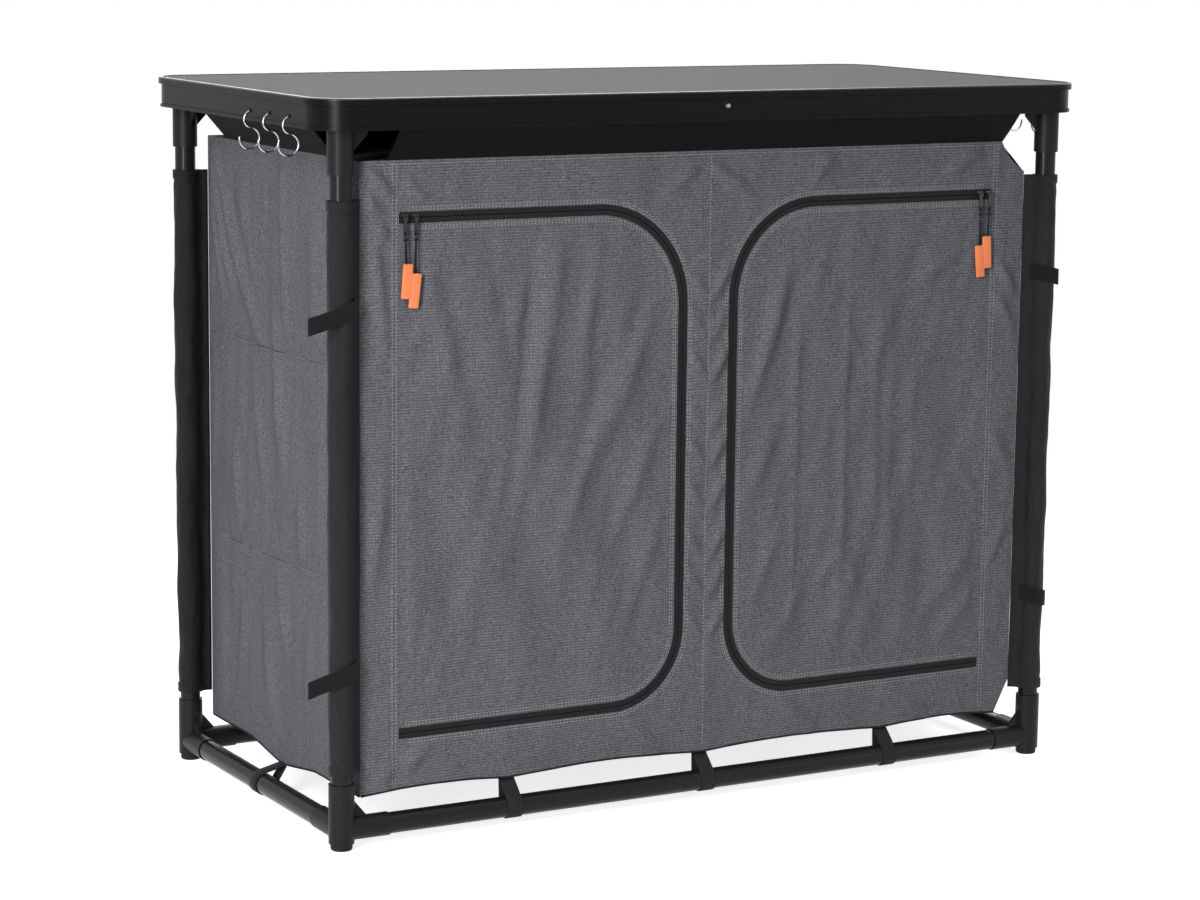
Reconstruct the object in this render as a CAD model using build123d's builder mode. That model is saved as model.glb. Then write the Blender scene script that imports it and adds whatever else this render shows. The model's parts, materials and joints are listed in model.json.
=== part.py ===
from build123d import *
from math import acos, asin, atan2, cos, degrees, hypot, radians, sin, tan
import os

os.makedirs("parts", exist_ok=True)

# Camping cupboard: a frame of round tubes carries a lift-off worktop and a hanging cloth cabinet.
# Millimetres, +Z up, origin on the floor at the centre of the four legs, front towards -Y.

# Frame tubes
leg_spacing_x = 970.0
leg_spacing_y = 456.0
tube_radius = 12.5
tube_wall = 1.2
tube_fit = 0.2

# Corner connectors and feet
barrel_wall = 2.3
arm_wall = 1.1
arm_length = 58.0
arm_lift = 2.2
leg_lift = 4.2
leg_grip = 36.0
rail_lift = 5.0
gusset_reach = 32.0
gusset_rise = 34.0
gusset_thickness = 3.0
web_root = 1.0
foot_height = 8.0
foot_step = 2.2
foot_edge_radius = 2.5
foot_shoulder = 0.6
foot_stem_length = 10.0
foot_stem_fit = 0.3

# Worktop rim, an extruded section bent round four corners
top_height = 861.6
overhang_x = 22.0
overhang_y = 18.0
top_corner_radius = 50.0
rim_height = 36.1
lip_height = 8.0
lip_width = 4.6
lip_edge_radius = 2.2
wall_inset = 3.5
wall_thickness = 1.8
bottom_lip_height = 4.0
bottom_lip_inset = 1.8
ledge_inset = 12.0
ledge_thickness = 1.8
groove_height = 0.9
groove_depth = 0.5
groove_drops = (9.2, 20.5, 31.0)

# Worktop board and its brace
board_thickness = 9.2
board_drop = 0.8
board_edge_gap = 0.2
brace_width = 25.0
brace_height = 15.0
brace_wall = 1.5
rivet_shank_radius = 1.6
rivet_head_radius = 3.2
rivet_head_height = 1.4
rivet_head_taper = 30.0
rivet_tail_radius = 2.6
rivet_clearance = 0.2

# Worktop sockets for the leg tops
socket_grip = 69.5
socket_roof = 6.6
socket_flange_reach = 19.0
socket_flange_edge = 0.5
socket_flange_thickness = 3.0
socket_gusset_setback = 1.0
socket_gusset_low = 24.5
socket_gusset_knee = 44.5
screw_shank_radius = 1.7
screw_head_radius = 3.4
screw_head_height = 1.8
screw_grip = 6.0
screw_pilot_depth = 7.0
screw_clearance = 0.3
screw_offset = 12.0
screw_side_offset = 9.5
screw_edge = 5.5

# Hooks on the left and right rims
hook_wire_radius = 1.25
hook_upper_radius = 9.3
hook_lower_radius = 12.5
hook_lower_shift = 2.7
hook_tip_angle = 8.0
hook_hole_radius = 2.6
hook_hole_rise = 12.1
hook_spacing = 55.0
hook_first_inset = 94.5
running_gap = 0.3

# Cloth cabinet
cabinet_side_gap = 11.1
cabinet_setback = 8.1
cabinet_rise = 33.0
cabinet_drop = 72.6
cloth = 1.2
side_droop = 12.0
side_droop_reach = 95.0
front_scallop = 5.0
lower_bay_height = 237.0
middle_bay_height = 253.0
shelf_thickness = 4.0
shelf_setback = 9.0
slack_top_x = 35.0
slack_top_y = 60.0
slack_top_drop = 38.0
slack_bottom_x = 21.0
slack_bottom_y = 35.0
slack_bottom_rise = 41.0
corner_trim = 8.0

# Folds of the hanging cloth
side_fold_depth = 3.2
back_fold_depth = 3.0
door_fold_depth = 4.0
least_fold = 0.3
fold_clearance = 0.1
side_fold_count = 8
back_fold_count = 12
door_fold_count = 4

# Doors and zips
hinge_strip = 48.3
hinge_fold = 1.5
hinge_slit = 0.2
zip_inner_x = 35.0
zip_drop = 65.0
zip_rise = 69.0
zip_top_radius = 115.0
zip_bottom_radius = 90.0
tape_width = 6.5
tape_seam = 0.3
coil_gap = 0.4
coil_width = 2.4
coil_rise = 1.0

# Sliders, pullers and tags
slider_length = 9.0
slider_height = 8.4
slider_corner = 1.5
slider_plate = 1.7
slider_post = 0.5
slider_post_length = 6.0
slider_rear_plate = 1.2
ear_thickness = 1.0
ear_rise = 3.4
pin_radius = 0.7
pin_rise = 2.0
puller_width = 3.6
puller_length = 20.0
puller_thickness = 1.4
puller_hole_fit = 0.15
puller_head_wall = 0.8
puller_eye_length = 5.0
puller_eye_width = 1.9
puller_eye_edge = 1.0
pull_cord_radius = 0.8
pull_cord_length = 34.0
pull_cord_step = 11.0
tag_width = 12.0
tag_length = 40.0
tag_thickness = 3.0
tag_corner = 1.0
tag_hinge_gap = 0.75
tag_spacing = 1.5

# Flaps that close the gap between cabinet and worktop
front_flap_inset = 34.3
front_flap_rise = 37.0
front_flap_tab = 9.0
side_flap_inset = 59.9
side_flap_rise = 43.0
side_flap_lean = 37.7

# Sleeves that hold the cabinet to the legs
sleeve_thickness = 2.8
sleeve_web = 2.4
sleeve_bottom_gap = 10.0
sleeve_top_gap = 28.5

# Webbing loops round the rails
webbing_width = 20.0
webbing_thickness = 1.2
front_loop_spacing = 265.0
front_loop_setback = 6.0

# Straps that tie back an open door
tie_width = 20.0
tie_thickness = 1.6
tie_gap = 0.6
tie_lower_rise = 151.0
tie_upper_rise = 565.0
tie_slope = 15.0
tie_wrap_left = 270.0
tie_wrap_right = 315.0
tie_free_left = 48.0
tie_free_right = 12.0

# Places of the frame, worked out from the driving sizes
leg_x = leg_spacing_x / 2
leg_y = leg_spacing_y / 2
bore_radius = tube_radius + tube_fit
barrel_radius = bore_radius + barrel_wall
arm_radius = bore_radius + arm_wall
foot_radius = barrel_radius - foot_step
foot_stem_radius = foot_radius - foot_shoulder
rail_axis_z = foot_height + arm_radius + arm_lift
rail_seat = barrel_radius + rail_lift
leg_seat_z = rail_axis_z + arm_radius + leg_lift
connector_top_z = leg_seat_z + leg_grip

# Places of the worktop
top_length = leg_spacing_x + 2 * (barrel_radius + overhang_x)
top_width = leg_spacing_y + 2 * (barrel_radius + overhang_y)
rim_bottom_z = top_height - rim_height
wall_outer_x = top_length / 2 - wall_inset
wall_outer_y = top_width / 2 - wall_inset
wall_inner_inset = wall_inset + wall_thickness
wall_inner_y = top_width / 2 - wall_inner_inset
board_bottom_z = top_height - board_drop - board_thickness
rivet_z = board_bottom_z - brace_height / 2
leg_top_z = board_bottom_z - socket_roof
socket_bottom_z = leg_top_z - socket_grip
hook_hole_z = rim_bottom_z + hook_hole_rise
hook_axis_z = hook_hole_z - hook_hole_radius + running_gap + hook_wire_radius
hook_first_y = hook_first_inset - top_width / 2

# Places of the cabinet
sleeve_radius = tube_radius + running_gap + sleeve_thickness
side_x = leg_x - sleeve_radius - cabinet_side_gap
front_y = leg_y - cabinet_setback
cloth_gap = least_fold + fold_clearance
level_x = side_x - cloth - cloth_gap
level_front_y = -(front_y - cloth)
level_rear_y = front_y - cloth - cloth_gap
cabinet_bottom_z = rail_axis_z + cabinet_rise
cabinet_top_z = top_height - cabinet_drop
lower_shelf_z = cabinet_bottom_z + lower_bay_height
upper_shelf_z = lower_shelf_z + middle_bay_height
front_plane = Plane.XZ.offset(front_y)

# Places of the doors, zips and pulls
hinge_x = side_x - hinge_strip
zip_top_z = cabinet_top_z - zip_drop
zip_bottom_z = cabinet_bottom_z + zip_rise
zip_centre_z = (zip_top_z + zip_bottom_z) / 2
slider_back = front_y + coil_rise + running_gap
pin_y = slider_back + slider_plate + pin_rise
pin_z = zip_top_z
slider_first = tag_width / 2 + tag_hinge_gap
slider_pitch = tag_width + tag_spacing

corners = {
    "front_left": (-1, -1),
    "front_right": (1, -1),
    "rear_left": (-1, 1),
    "rear_right": (1, 1),
}
sides = {"left": -1, "right": 1}
hook_places = ("front", "middle", "rear")
pull_places = ("outer", "inner")


def save(part, node):
    """Label a finished piece and write it as one STEP file."""
    part.label = node
    export_step(part, f"parts/{node}.step")


# Tubes of the frame
def leg_tube(x, y):
    with BuildPart() as tube:
        with BuildSketch(Plane(origin=(x, y, leg_seat_z))):
            Circle(tube_radius)
            Circle(tube_radius - tube_wall, mode=Mode.SUBTRACT)
        extrude(amount=leg_top_z - leg_seat_z)
    return tube.part


def rail_tube(start, along, length):
    with BuildPart() as tube:
        with BuildSketch(Plane(origin=start, z_dir=along)):
            Circle(tube_radius)
            Circle(tube_radius - tube_wall, mode=Mode.SUBTRACT)
        extrude(amount=length)
    return tube.part


# Moulded corner connector: a barrel for the leg, two arms for the rails, a web over each arm
def corner_connector(sx, sy):
    x = sx * leg_x
    y = sy * leg_y
    towards = ((-sx, 0, 0), (0, -sy, 0))
    with BuildPart() as connector:
        with BuildSketch(Plane(origin=(x, y, foot_height))):
            Circle(barrel_radius)
        extrude(amount=connector_top_z - foot_height)
        for direction in towards:
            with BuildSketch(Plane(origin=(x, y, rail_axis_z), z_dir=direction)):
                Circle(arm_radius)
            extrude(amount=arm_length)
            across = Vector(*direction).cross(Vector(0, 0, 1))
            with BuildSketch(Plane(origin=(x, y, 0), x_dir=direction, z_dir=across)):
                with BuildLine():
                    Polyline(
                        (0, rail_axis_z),
                        (gusset_reach, rail_axis_z),
                        (gusset_reach, rail_axis_z + arm_radius - web_root),
                        (barrel_radius - web_root, rail_axis_z + gusset_rise),
                        (0, rail_axis_z + gusset_rise),
                        close=True,
                    )
                make_face()
            extrude(amount=gusset_thickness / 2, both=True)
        for direction in towards:
            start = Vector(x, y, rail_axis_z) + Vector(*direction) * rail_seat
            with BuildSketch(Plane(origin=start, z_dir=direction)):
                Circle(bore_radius)
            extrude(amount=arm_length, mode=Mode.SUBTRACT)
        with BuildSketch(Plane(origin=(x, y, leg_seat_z))):
            Circle(bore_radius)
        extrude(amount=connector_top_z, mode=Mode.SUBTRACT)
        with BuildSketch(Plane(origin=(x, y, 0))):
            Circle(foot_stem_radius + foot_stem_fit)
        extrude(amount=foot_height + foot_stem_length, mode=Mode.SUBTRACT)
    return connector.part


# Rounded foot plugs, stems up inside the connector barrels
def foot_plugs():
    spots = [(sx * leg_x, sy * leg_y) for sx, sy in corners.values()]
    with BuildPart() as plugs:
        with BuildSketch():
            with Locations(*spots):
                Circle(foot_radius)
        extrude(amount=foot_height)
        fillet(plugs.edges().group_by(Axis.Z)[0], foot_edge_radius)
        with BuildSketch(Plane.XY.offset(foot_height)):
            with Locations(*spots):
                Circle(foot_stem_radius)
        extrude(amount=foot_stem_length)
    return plugs.part


# Worktop rim: lip, wall, bottom lip and ledge are rings of one height each
def worktop_rim():
    rings = (
        (rim_bottom_z, bottom_lip_height, bottom_lip_inset, wall_inner_inset),
        (rim_bottom_z, board_bottom_z - rim_bottom_z, wall_inset, wall_inner_inset),
        (board_bottom_z, top_height - board_bottom_z, wall_inset, lip_width),
        (top_height - lip_height, lip_height, 0, lip_width),
        (board_bottom_z - ledge_thickness, ledge_thickness, wall_inset, ledge_inset),
    )
    with BuildPart() as rim:
        for low_z, height, outer, inner in rings:
            with BuildSketch(Plane.XY.offset(low_z)):
                RectangleRounded(top_length - 2 * outer, top_width - 2 * outer, top_corner_radius - outer)
                RectangleRounded(
                    top_length - 2 * inner,
                    top_width - 2 * inner,
                    top_corner_radius - inner,
                    mode=Mode.SUBTRACT,
                )
            extrude(amount=height)
        for drop in groove_drops:
            outer = wall_inset - groove_depth
            inner = wall_inset + groove_depth
            with BuildSketch(Plane.XY.offset(top_height - drop - groove_height)):
                RectangleRounded(top_length - 2 * outer, top_width - 2 * outer, top_corner_radius - outer)
                RectangleRounded(
                    top_length - 2 * inner,
                    top_width - 2 * inner,
                    top_corner_radius - inner,
                    mode=Mode.SUBTRACT,
                )
            extrude(amount=groove_height, mode=Mode.SUBTRACT)
        hook_spots = [(hook_first_y + i * hook_spacing, hook_hole_z) for i in range(len(hook_places))]
        for side in sides.values():
            with BuildSketch(Plane.YZ.offset(side * (wall_outer_x - wall_thickness / 2))):
                with Locations(*hook_spots):
                    Circle(hook_hole_radius)
            extrude(amount=wall_inset, both=True, mode=Mode.SUBTRACT)
        with BuildSketch(Plane.XZ):
            with Locations((0, rivet_z)):
                Circle(rivet_shank_radius + rivet_clearance)
        extrude(amount=top_width, both=True, mode=Mode.SUBTRACT)
        fillet(rim.faces().sort_by(Axis.Z)[-1].outer_wire().edges(), lip_edge_radius)
    return rim.part


def worktop_board():
    inset = lip_width + board_edge_gap
    with BuildPart() as board:
        with BuildSketch(Plane.XY.offset(board_bottom_z)):
            RectangleRounded(top_length - 2 * inset, top_width - 2 * inset, top_corner_radius - inset)
        extrude(amount=board_thickness)
        with BuildSketch(Plane.XY.offset(board_bottom_z)):
            with Locations(*screw_spots()):
                Circle(screw_shank_radius + screw_clearance)
        extrude(amount=screw_pilot_depth, mode=Mode.SUBTRACT)
    return board.part


# Inverted channel that stiffens the board between the front and rear rims
def cross_brace():
    bottom_z = board_bottom_z - brace_height
    tab_top_z = board_bottom_z - ledge_thickness - running_gap
    end_y = wall_inner_y - running_gap
    shoulder_y = top_width / 2 - ledge_inset - running_gap
    with BuildPart() as brace:
        with BuildSketch(Plane.YZ):
            with BuildLine():
                Polyline(
                    (-end_y, bottom_z),
                    (end_y, bottom_z),
                    (end_y, tab_top_z),
                    (shoulder_y, tab_top_z),
                    (shoulder_y, board_bottom_z),
                    (-shoulder_y, board_bottom_z),
                    (-shoulder_y, tab_top_z),
                    (-end_y, tab_top_z),
                    close=True,
                )
            make_face()
        extrude(amount=brace_width / 2, both=True)
        with BuildSketch(Plane.XY.offset(bottom_z)):
            Rectangle(brace_width - 2 * brace_wall, 2 * (end_y - brace_wall))
        extrude(amount=tab_top_z - brace_wall - bottom_z, mode=Mode.SUBTRACT)
        with BuildSketch(Plane.XZ):
            with Locations((0, rivet_z)):
                Circle(rivet_shank_radius + rivet_clearance)
        extrude(amount=top_width, both=True, mode=Mode.SUBTRACT)
    return brace.part


# One rivet through the middle of the front rim and one through the rear rim
def brace_rivets():
    grip = wall_thickness + running_gap + brace_wall
    with BuildPart() as rivets:
        for sy in (-1, 1):
            head_y = sy * wall_outer_y
            tail_y = head_y - sy * grip
            with BuildSketch(Plane(origin=(0, tail_y, rivet_z), z_dir=(0, sy, 0))):
                Circle(rivet_shank_radius)
            extrude(amount=grip)
            with BuildSketch(Plane(origin=(0, head_y, rivet_z), z_dir=(0, sy, 0))):
                Circle(rivet_head_radius)
            extrude(amount=rivet_head_height, taper=rivet_head_taper)
            with BuildSketch(Plane(origin=(0, tail_y, rivet_z), z_dir=(0, -sy, 0))):
                Circle(rivet_tail_radius)
            extrude(amount=rivet_head_height)
    return rivets.part


def screw_spots():
    """Four screws a socket: a pair astride the web on each of its inward sides."""
    inward = barrel_radius + screw_offset
    spots = []
    for sx, sy in corners.values():
        for aside in (-screw_side_offset, screw_side_offset):
            spots.append((sx * (leg_x - inward), sy * (leg_y + aside)))
            spots.append((sx * (leg_x + aside), sy * (leg_y - inward)))
    return spots


# Socket under the worktop: a flanged barrel with a web over each inward side
def leg_socket(sx, sy):
    x = sx * leg_x
    y = sy * leg_y
    flange_z = board_bottom_z - socket_flange_thickness
    flange_reach = barrel_radius + socket_flange_reach
    web_reach = flange_reach - socket_gusset_setback
    far = screw_edge - flange_reach
    near = screw_side_offset
    with BuildPart() as socket:
        with BuildSketch(Plane(origin=(x, y, socket_bottom_z))):
            Circle(barrel_radius)
        extrude(amount=board_bottom_z - socket_bottom_z)
        with BuildSketch(Plane(origin=(x, y, flange_z))):
            Circle(barrel_radius + socket_flange_edge)
            with Locations((sx * far, sy * near), (sx * far, sy * far), (sx * near, sy * far)):
                Circle(screw_edge)
            make_hull()
        extrude(amount=socket_flange_thickness)
        for direction in ((-sx, 0, 0), (0, -sy, 0)):
            across = Vector(*direction).cross(Vector(0, 0, 1))
            with BuildSketch(Plane(origin=(x, y, 0), x_dir=direction, z_dir=across)):
                with BuildLine():
                    Polyline(
                        (0, socket_bottom_z + socket_gusset_low),
                        (barrel_radius - web_root, socket_bottom_z + socket_gusset_low),
                        (web_reach, socket_bottom_z + socket_gusset_knee),
                        (web_reach, flange_z + web_root),
                        (0, flange_z + web_root),
                        close=True,
                    )
                make_face()
            extrude(amount=gusset_thickness / 2, both=True)
        with BuildSketch(Plane(origin=(x, y, socket_bottom_z))):
            Circle(tube_radius + tube_fit)
        extrude(amount=leg_top_z - socket_bottom_z, mode=Mode.SUBTRACT)
        with BuildSketch(Plane.XY.offset(flange_z)):
            with Locations(*screw_spots()):
                Circle(screw_shank_radius + screw_clearance)
        extrude(amount=socket_flange_thickness, mode=Mode.SUBTRACT)
    return socket.part


def socket_screws():
    flange_z = board_bottom_z - socket_flange_thickness
    with BuildPart() as screws:
        with BuildSketch(Plane.XY.offset(flange_z - screw_head_height)):
            with Locations(*screw_spots()):
                Circle(screw_head_radius)
        extrude(amount=screw_head_height)
        with BuildSketch(Plane.XY.offset(flange_z)):
            with Locations(*screw_spots()):
                Circle(screw_shank_radius)
        extrude(amount=socket_flange_thickness + screw_grip)
    return screws.part


# S-hook in the plane square to the rim: the upper loop passes through the hole in the wall
def s_hook(side, y):
    middle_x = wall_outer_x - wall_thickness / 2
    upper_z = hook_axis_z - hook_upper_radius
    centre_gap = hook_upper_radius + hook_lower_radius
    lean = degrees(acos(hook_lower_shift / centre_gap))
    lower_z = upper_z - centre_gap * sin(radians(lean))
    plane = Plane(origin=(side * middle_x, y, 0), x_dir=(side, 0, 0), z_dir=(0, -side, 0))
    with BuildPart() as hook:
        with BuildLine(plane) as centreline:
            CenterArc((0, upper_z), hook_upper_radius, -lean, lean + 180)
            CenterArc((hook_lower_shift, lower_z), hook_lower_radius, 180 - lean, lean + 180 + hook_tip_angle)
        start = centreline.line @ 0
        heading = centreline.line % 0
        with BuildSketch(Plane(origin=start, z_dir=heading)):
            Circle(hook_wire_radius)
        sweep(path=centreline.line)
    return hook.part


# Outline of a zip on the front plane, grown or shrunk by a distance from its centreline
def zip_outline(side, grow, outer_end):
    inner_end = zip_inner_x - grow
    width = outer_end - inner_end
    height = zip_top_z - zip_bottom_z + 2 * grow
    with BuildSketch() as outline:
        with Locations((side * (outer_end + inner_end) / 2, zip_centre_z)):
            Rectangle(width, height)
        inner = outline.vertices().sort_by(lambda v: abs(v.X))[:2].sort_by(Axis.Y)
        fillet(inner[1], zip_top_radius + grow)
        inner = outline.vertices().sort_by(lambda v: abs(v.X))[:2].sort_by(Axis.Y)
        fillet(inner[0], zip_bottom_radius + grow)
    return outline.sketch


# Half of a zip: a tape with a coil bead along its inner edge
def zip_half(side, outward):
    outer_end = hinge_x - hinge_fold
    near = outward * coil_gap
    bead = outward * (coil_gap + coil_width)
    far = outward * (tape_width - tape_seam * (1 - outward) / 2)
    outline_far = zip_outline(side, far, outer_end)
    outline_bead = zip_outline(side, bead, outer_end)
    outline_near = zip_outline(side, near, outer_end)
    with BuildPart() as half:
        with BuildSketch(front_plane):
            add(outline_far if outward > 0 else outline_near)
            add(outline_near if outward > 0 else outline_far, mode=Mode.SUBTRACT)
        extrude(amount=-cloth)
        with BuildSketch(front_plane):
            add(outline_bead if outward > 0 else outline_near)
            add(outline_near if outward > 0 else outline_bead, mode=Mode.SUBTRACT)
        extrude(amount=coil_rise)
    return half.part


# Front panel: flat cloth with two doorways, a scalloped hem and one slack corner
def front_panel():
    hem = cabinet_bottom_z
    with BuildPart() as panel:
        with BuildSketch(front_plane):
            with BuildLine():
                Polyline(
                    (-side_x, hem),
                    (-side_x, cabinet_top_z - corner_trim),
                    (-side_x + corner_trim, cabinet_top_z),
                    (side_x - slack_top_x, cabinet_top_z),
                    (side_x, cabinet_top_z - slack_top_drop),
                    (side_x, hem + slack_bottom_rise),
                    (side_x - slack_bottom_x, hem),
                )
                ends = (side_x - slack_bottom_x, front_loop_spacing, 0, -front_loop_spacing, -side_x)
                for right, left in zip(ends, ends[1:]):
                    ThreePointArc((right, hem), ((right + left) / 2, hem + front_scallop), (left, hem))
            make_face()
            for side in sides.values():
                add(zip_outline(side, tape_width, hinge_x + hinge_slit), mode=Mode.SUBTRACT)
        extrude(amount=-cloth)
    return panel.part


# Hanging cloth: flat at each seam, with vertical folds that are deepest midway between two seams
def folded_sheet(plane, half_width, seams, depth, fold_count):
    sections = []
    for (low_z, high_z), (next_z, _) in zip(seams, [*seams[1:], seams[-1]]):
        sections.extend(((low_z, least_fold), (high_z, least_fold)))
        if next_z > high_z:
            sections.append(((high_z + next_z) / 2, depth))
    chord = 2 * half_width / fold_count
    with BuildPart() as sheet:
        for level, bulge in sections:
            with BuildSketch(Plane(origin=plane.origin + Vector(0, 0, level), x_dir=plane.x_dir)):
                with BuildLine():
                    for face in (0, cloth):
                        for i in range(fold_count):
                            start = -half_width + i * chord
                            swell = bulge if i % 2 else -bulge
                            middle = (start + chord / 2, face + swell)
                            ThreePointArc((start, face), middle, (start + chord, face))
                    for end in (-half_width, half_width):
                        Line((end, 0), (end, cloth))
                make_face()
        loft(ruled=True)
    return sheet.part


def wall_seams():
    """Where the cabinet's bottom, shelves and top hold its walls flat."""
    half_shelf = shelf_thickness / 2
    return (
        (cabinet_bottom_z - side_droop, cabinet_bottom_z + cloth),
        (lower_shelf_z - half_shelf, lower_shelf_z + half_shelf),
        (upper_shelf_z - half_shelf, upper_shelf_z + half_shelf),
        (cabinet_top_z - cloth, cabinet_top_z),
    )


# Side panel: folded cloth whose hem droops to the webbing loop in its middle
def side_panel(side):
    plane = Plane(origin=(side * side_x, 0, 0), x_dir=(0, side, 0))
    sheet = folded_sheet(plane, level_rear_y, wall_seams(), side_fold_depth, side_fold_count)
    hem = cabinet_bottom_z
    low = hem - side_droop
    slack = side > 0
    top_cut = slack_top_y if slack else corner_trim
    top_drop = slack_top_drop if slack else corner_trim
    bottom_cut = slack_bottom_y if slack else corner_trim
    bottom_rise = slack_bottom_rise if slack else corner_trim
    with BuildSketch(Plane.YZ) as outline:
        with BuildLine():
            Polyline(
                (webbing_width / 2, low),
                (side_droop_reach, hem),
                (front_y - corner_trim, hem),
                (front_y, hem + corner_trim),
                (front_y, cabinet_top_z - corner_trim),
                (front_y - corner_trim, cabinet_top_z),
                (-front_y + top_cut, cabinet_top_z),
                (-front_y, cabinet_top_z - top_drop),
                (-front_y, hem + bottom_rise),
                (-front_y + bottom_cut, hem),
                (-side_droop_reach, hem),
                (-webbing_width / 2, low),
                close=True,
            )
        make_face()
    with BuildPart() as panel:
        add(sheet)
        extrude(outline.sketch, amount=top_length, both=True, mode=Mode.INTERSECT)
    return panel.part


def back_panel():
    plane = Plane(origin=(0, front_y, 0), x_dir=(-1, 0, 0))
    sheet = folded_sheet(plane, side_x, wall_seams(), back_fold_depth, back_fold_count)
    hem = cabinet_bottom_z
    with BuildPart() as panel:
        add(sheet)
        with BuildSketch(Plane.XZ):
            with BuildLine():
                Polyline((-side_x, hem), (-side_x, cabinet_top_z), (side_x, cabinet_top_z), (side_x, hem))
                ends = (side_x, front_loop_spacing, 0, -front_loop_spacing, -side_x)
                for right, left in zip(ends, ends[1:]):
                    ThreePointArc((right, hem), ((right + left) / 2, hem + front_scallop), (left, hem))
            make_face()
        extrude(amount=top_width, both=True, mode=Mode.INTERSECT)
    return panel.part


# Door: folded cloth cut to the inner outline of its zip
def door_panel(side):
    hinge_edge = hinge_x - hinge_fold
    zip_edge = zip_inner_x + tape_width
    middle = side * (hinge_edge + zip_edge) / 2
    half_width = (hinge_edge - zip_edge) / 2
    plane = Plane(origin=(middle, -front_y, 0), x_dir=(1, 0, 0))
    seams = ((zip_bottom_z, zip_bottom_z + tape_width), (zip_top_z - tape_width, zip_top_z))
    sheet = folded_sheet(plane, half_width, seams, door_fold_depth, door_fold_count)
    with BuildPart() as door:
        add(sheet)
        with BuildSketch(Plane.XZ):
            add(zip_outline(side, -tape_width, hinge_edge))
        extrude(amount=top_width, both=True, mode=Mode.INTERSECT)
    return door.part


# Top or bottom of the cabinet, cut across at the slack corner
def level_sheet(low_z, slack_x, slack_y):
    with BuildPart() as sheet:
        with BuildSketch(Plane.XY.offset(low_z)):
            with BuildLine():
                Polyline(
                    (-level_x, level_front_y),
                    (level_x - slack_x, level_front_y),
                    (level_x, level_front_y + slack_y),
                    (level_x, level_rear_y),
                    (-level_x, level_rear_y),
                    close=True,
                )
            make_face()
        extrude(amount=cloth)
    return sheet.part


def centre_divider():
    middle_y = (level_front_y + level_rear_y) / 2
    with BuildPart() as divider:
        with BuildSketch(Plane(origin=(0, middle_y, cabinet_bottom_z + cloth))):
            Rectangle(cloth, level_rear_y - level_front_y)
        extrude(amount=cabinet_top_z - cabinet_bottom_z - 2 * cloth)
    return divider.part


# The left and right half shelves of one level
def shelf_pair(height_z):
    near_y = shelf_setback - front_y
    near_x = cloth / 2
    with BuildPart() as shelves:
        with BuildSketch(Plane.XY.offset(height_z - shelf_thickness / 2)):
            for side in sides.values():
                with Locations((side * (near_x + level_x) / 2, (near_y + level_rear_y) / 2)):
                    Rectangle(level_x - near_x, level_rear_y - near_y)
        extrude(amount=shelf_thickness)
    return shelves.part


# Flap profile: up and outwards from the cabinet edge, then a tab against its fixing
def flap(plane, length, foot, knee, tab_top):
    with BuildPart() as sheet:
        with BuildSketch(plane):
            with BuildLine():
                Polyline(
                    foot,
                    knee,
                    (knee[0], tab_top),
                    (knee[0] - cloth, tab_top),
                    (knee[0] - cloth, knee[1] + cloth / 2),
                    (foot[0] - cloth, foot[1] + cloth / 2),
                    (foot[0] - cloth, foot[1]),
                    close=True,
                )
            make_face()
        extrude(amount=length / 2, both=True)
    return sheet.part


def top_flaps():
    knee_y = wall_inner_y - running_gap
    knee_z = cabinet_top_z + front_flap_rise
    tab_top_z = knee_z + front_flap_tab
    front_length = 2 * (side_x - front_flap_inset)
    side_length = 2 * (front_y - side_flap_inset)
    with BuildPart() as flaps:
        for sy in (-1, 1):
            plane = Plane(origin=(0, 0, 0), x_dir=(0, sy, 0), z_dir=(sy, 0, 0))
            add(flap(plane, front_length, (front_y, cabinet_top_z), (knee_y, knee_z), tab_top_z))
        for sx in (-1, 1):
            plane = Plane(origin=(0, 0, 0), x_dir=(sx, 0, 0), z_dir=(0, -sx, 0))
            knee = (side_x + side_flap_lean, cabinet_top_z + side_flap_rise)
            add(flap(plane, side_length, (side_x, cabinet_top_z), knee, board_bottom_z - running_gap))
    return flaps.part


# Sleeves round the legs, each with a web to its corner of the cabinet
def leg_sleeves():
    cabinet_inset_x = leg_x - side_x
    bottom_z = connector_top_z + sleeve_bottom_gap
    top_z = socket_bottom_z - sleeve_top_gap
    reach = hypot(cabinet_inset_x, cabinet_setback) - running_gap
    with BuildPart() as sleeves:
        for sx, sy in corners.values():
            towards = Vector(-sx * cabinet_inset_x, -sy * cabinet_setback, 0)
            plane = Plane(origin=(sx * leg_x, sy * leg_y, bottom_z), x_dir=towards)
            with BuildSketch(plane):
                Circle(sleeve_radius)
                with Locations((reach / 2, 0)):
                    Rectangle(reach, sleeve_web)
                Circle(sleeve_radius - sleeve_thickness, mode=Mode.SUBTRACT)
            extrude(amount=top_z - bottom_z)
    return sleeves.part


# Webbing loop: a band round the rail, drawn up to a point at the hem
def webbing_loop(plane, hem_point):
    with BuildPart() as loop:
        for growth, mode in ((webbing_thickness, Mode.ADD), (0, Mode.SUBTRACT)):
            with BuildSketch(plane):
                Circle(tube_radius + running_gap + growth)
                with Locations(hem_point):
                    Circle(running_gap + growth)
                make_hull()
            extrude(amount=webbing_width / 2, both=True, mode=mode)
    return loop.part


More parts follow.
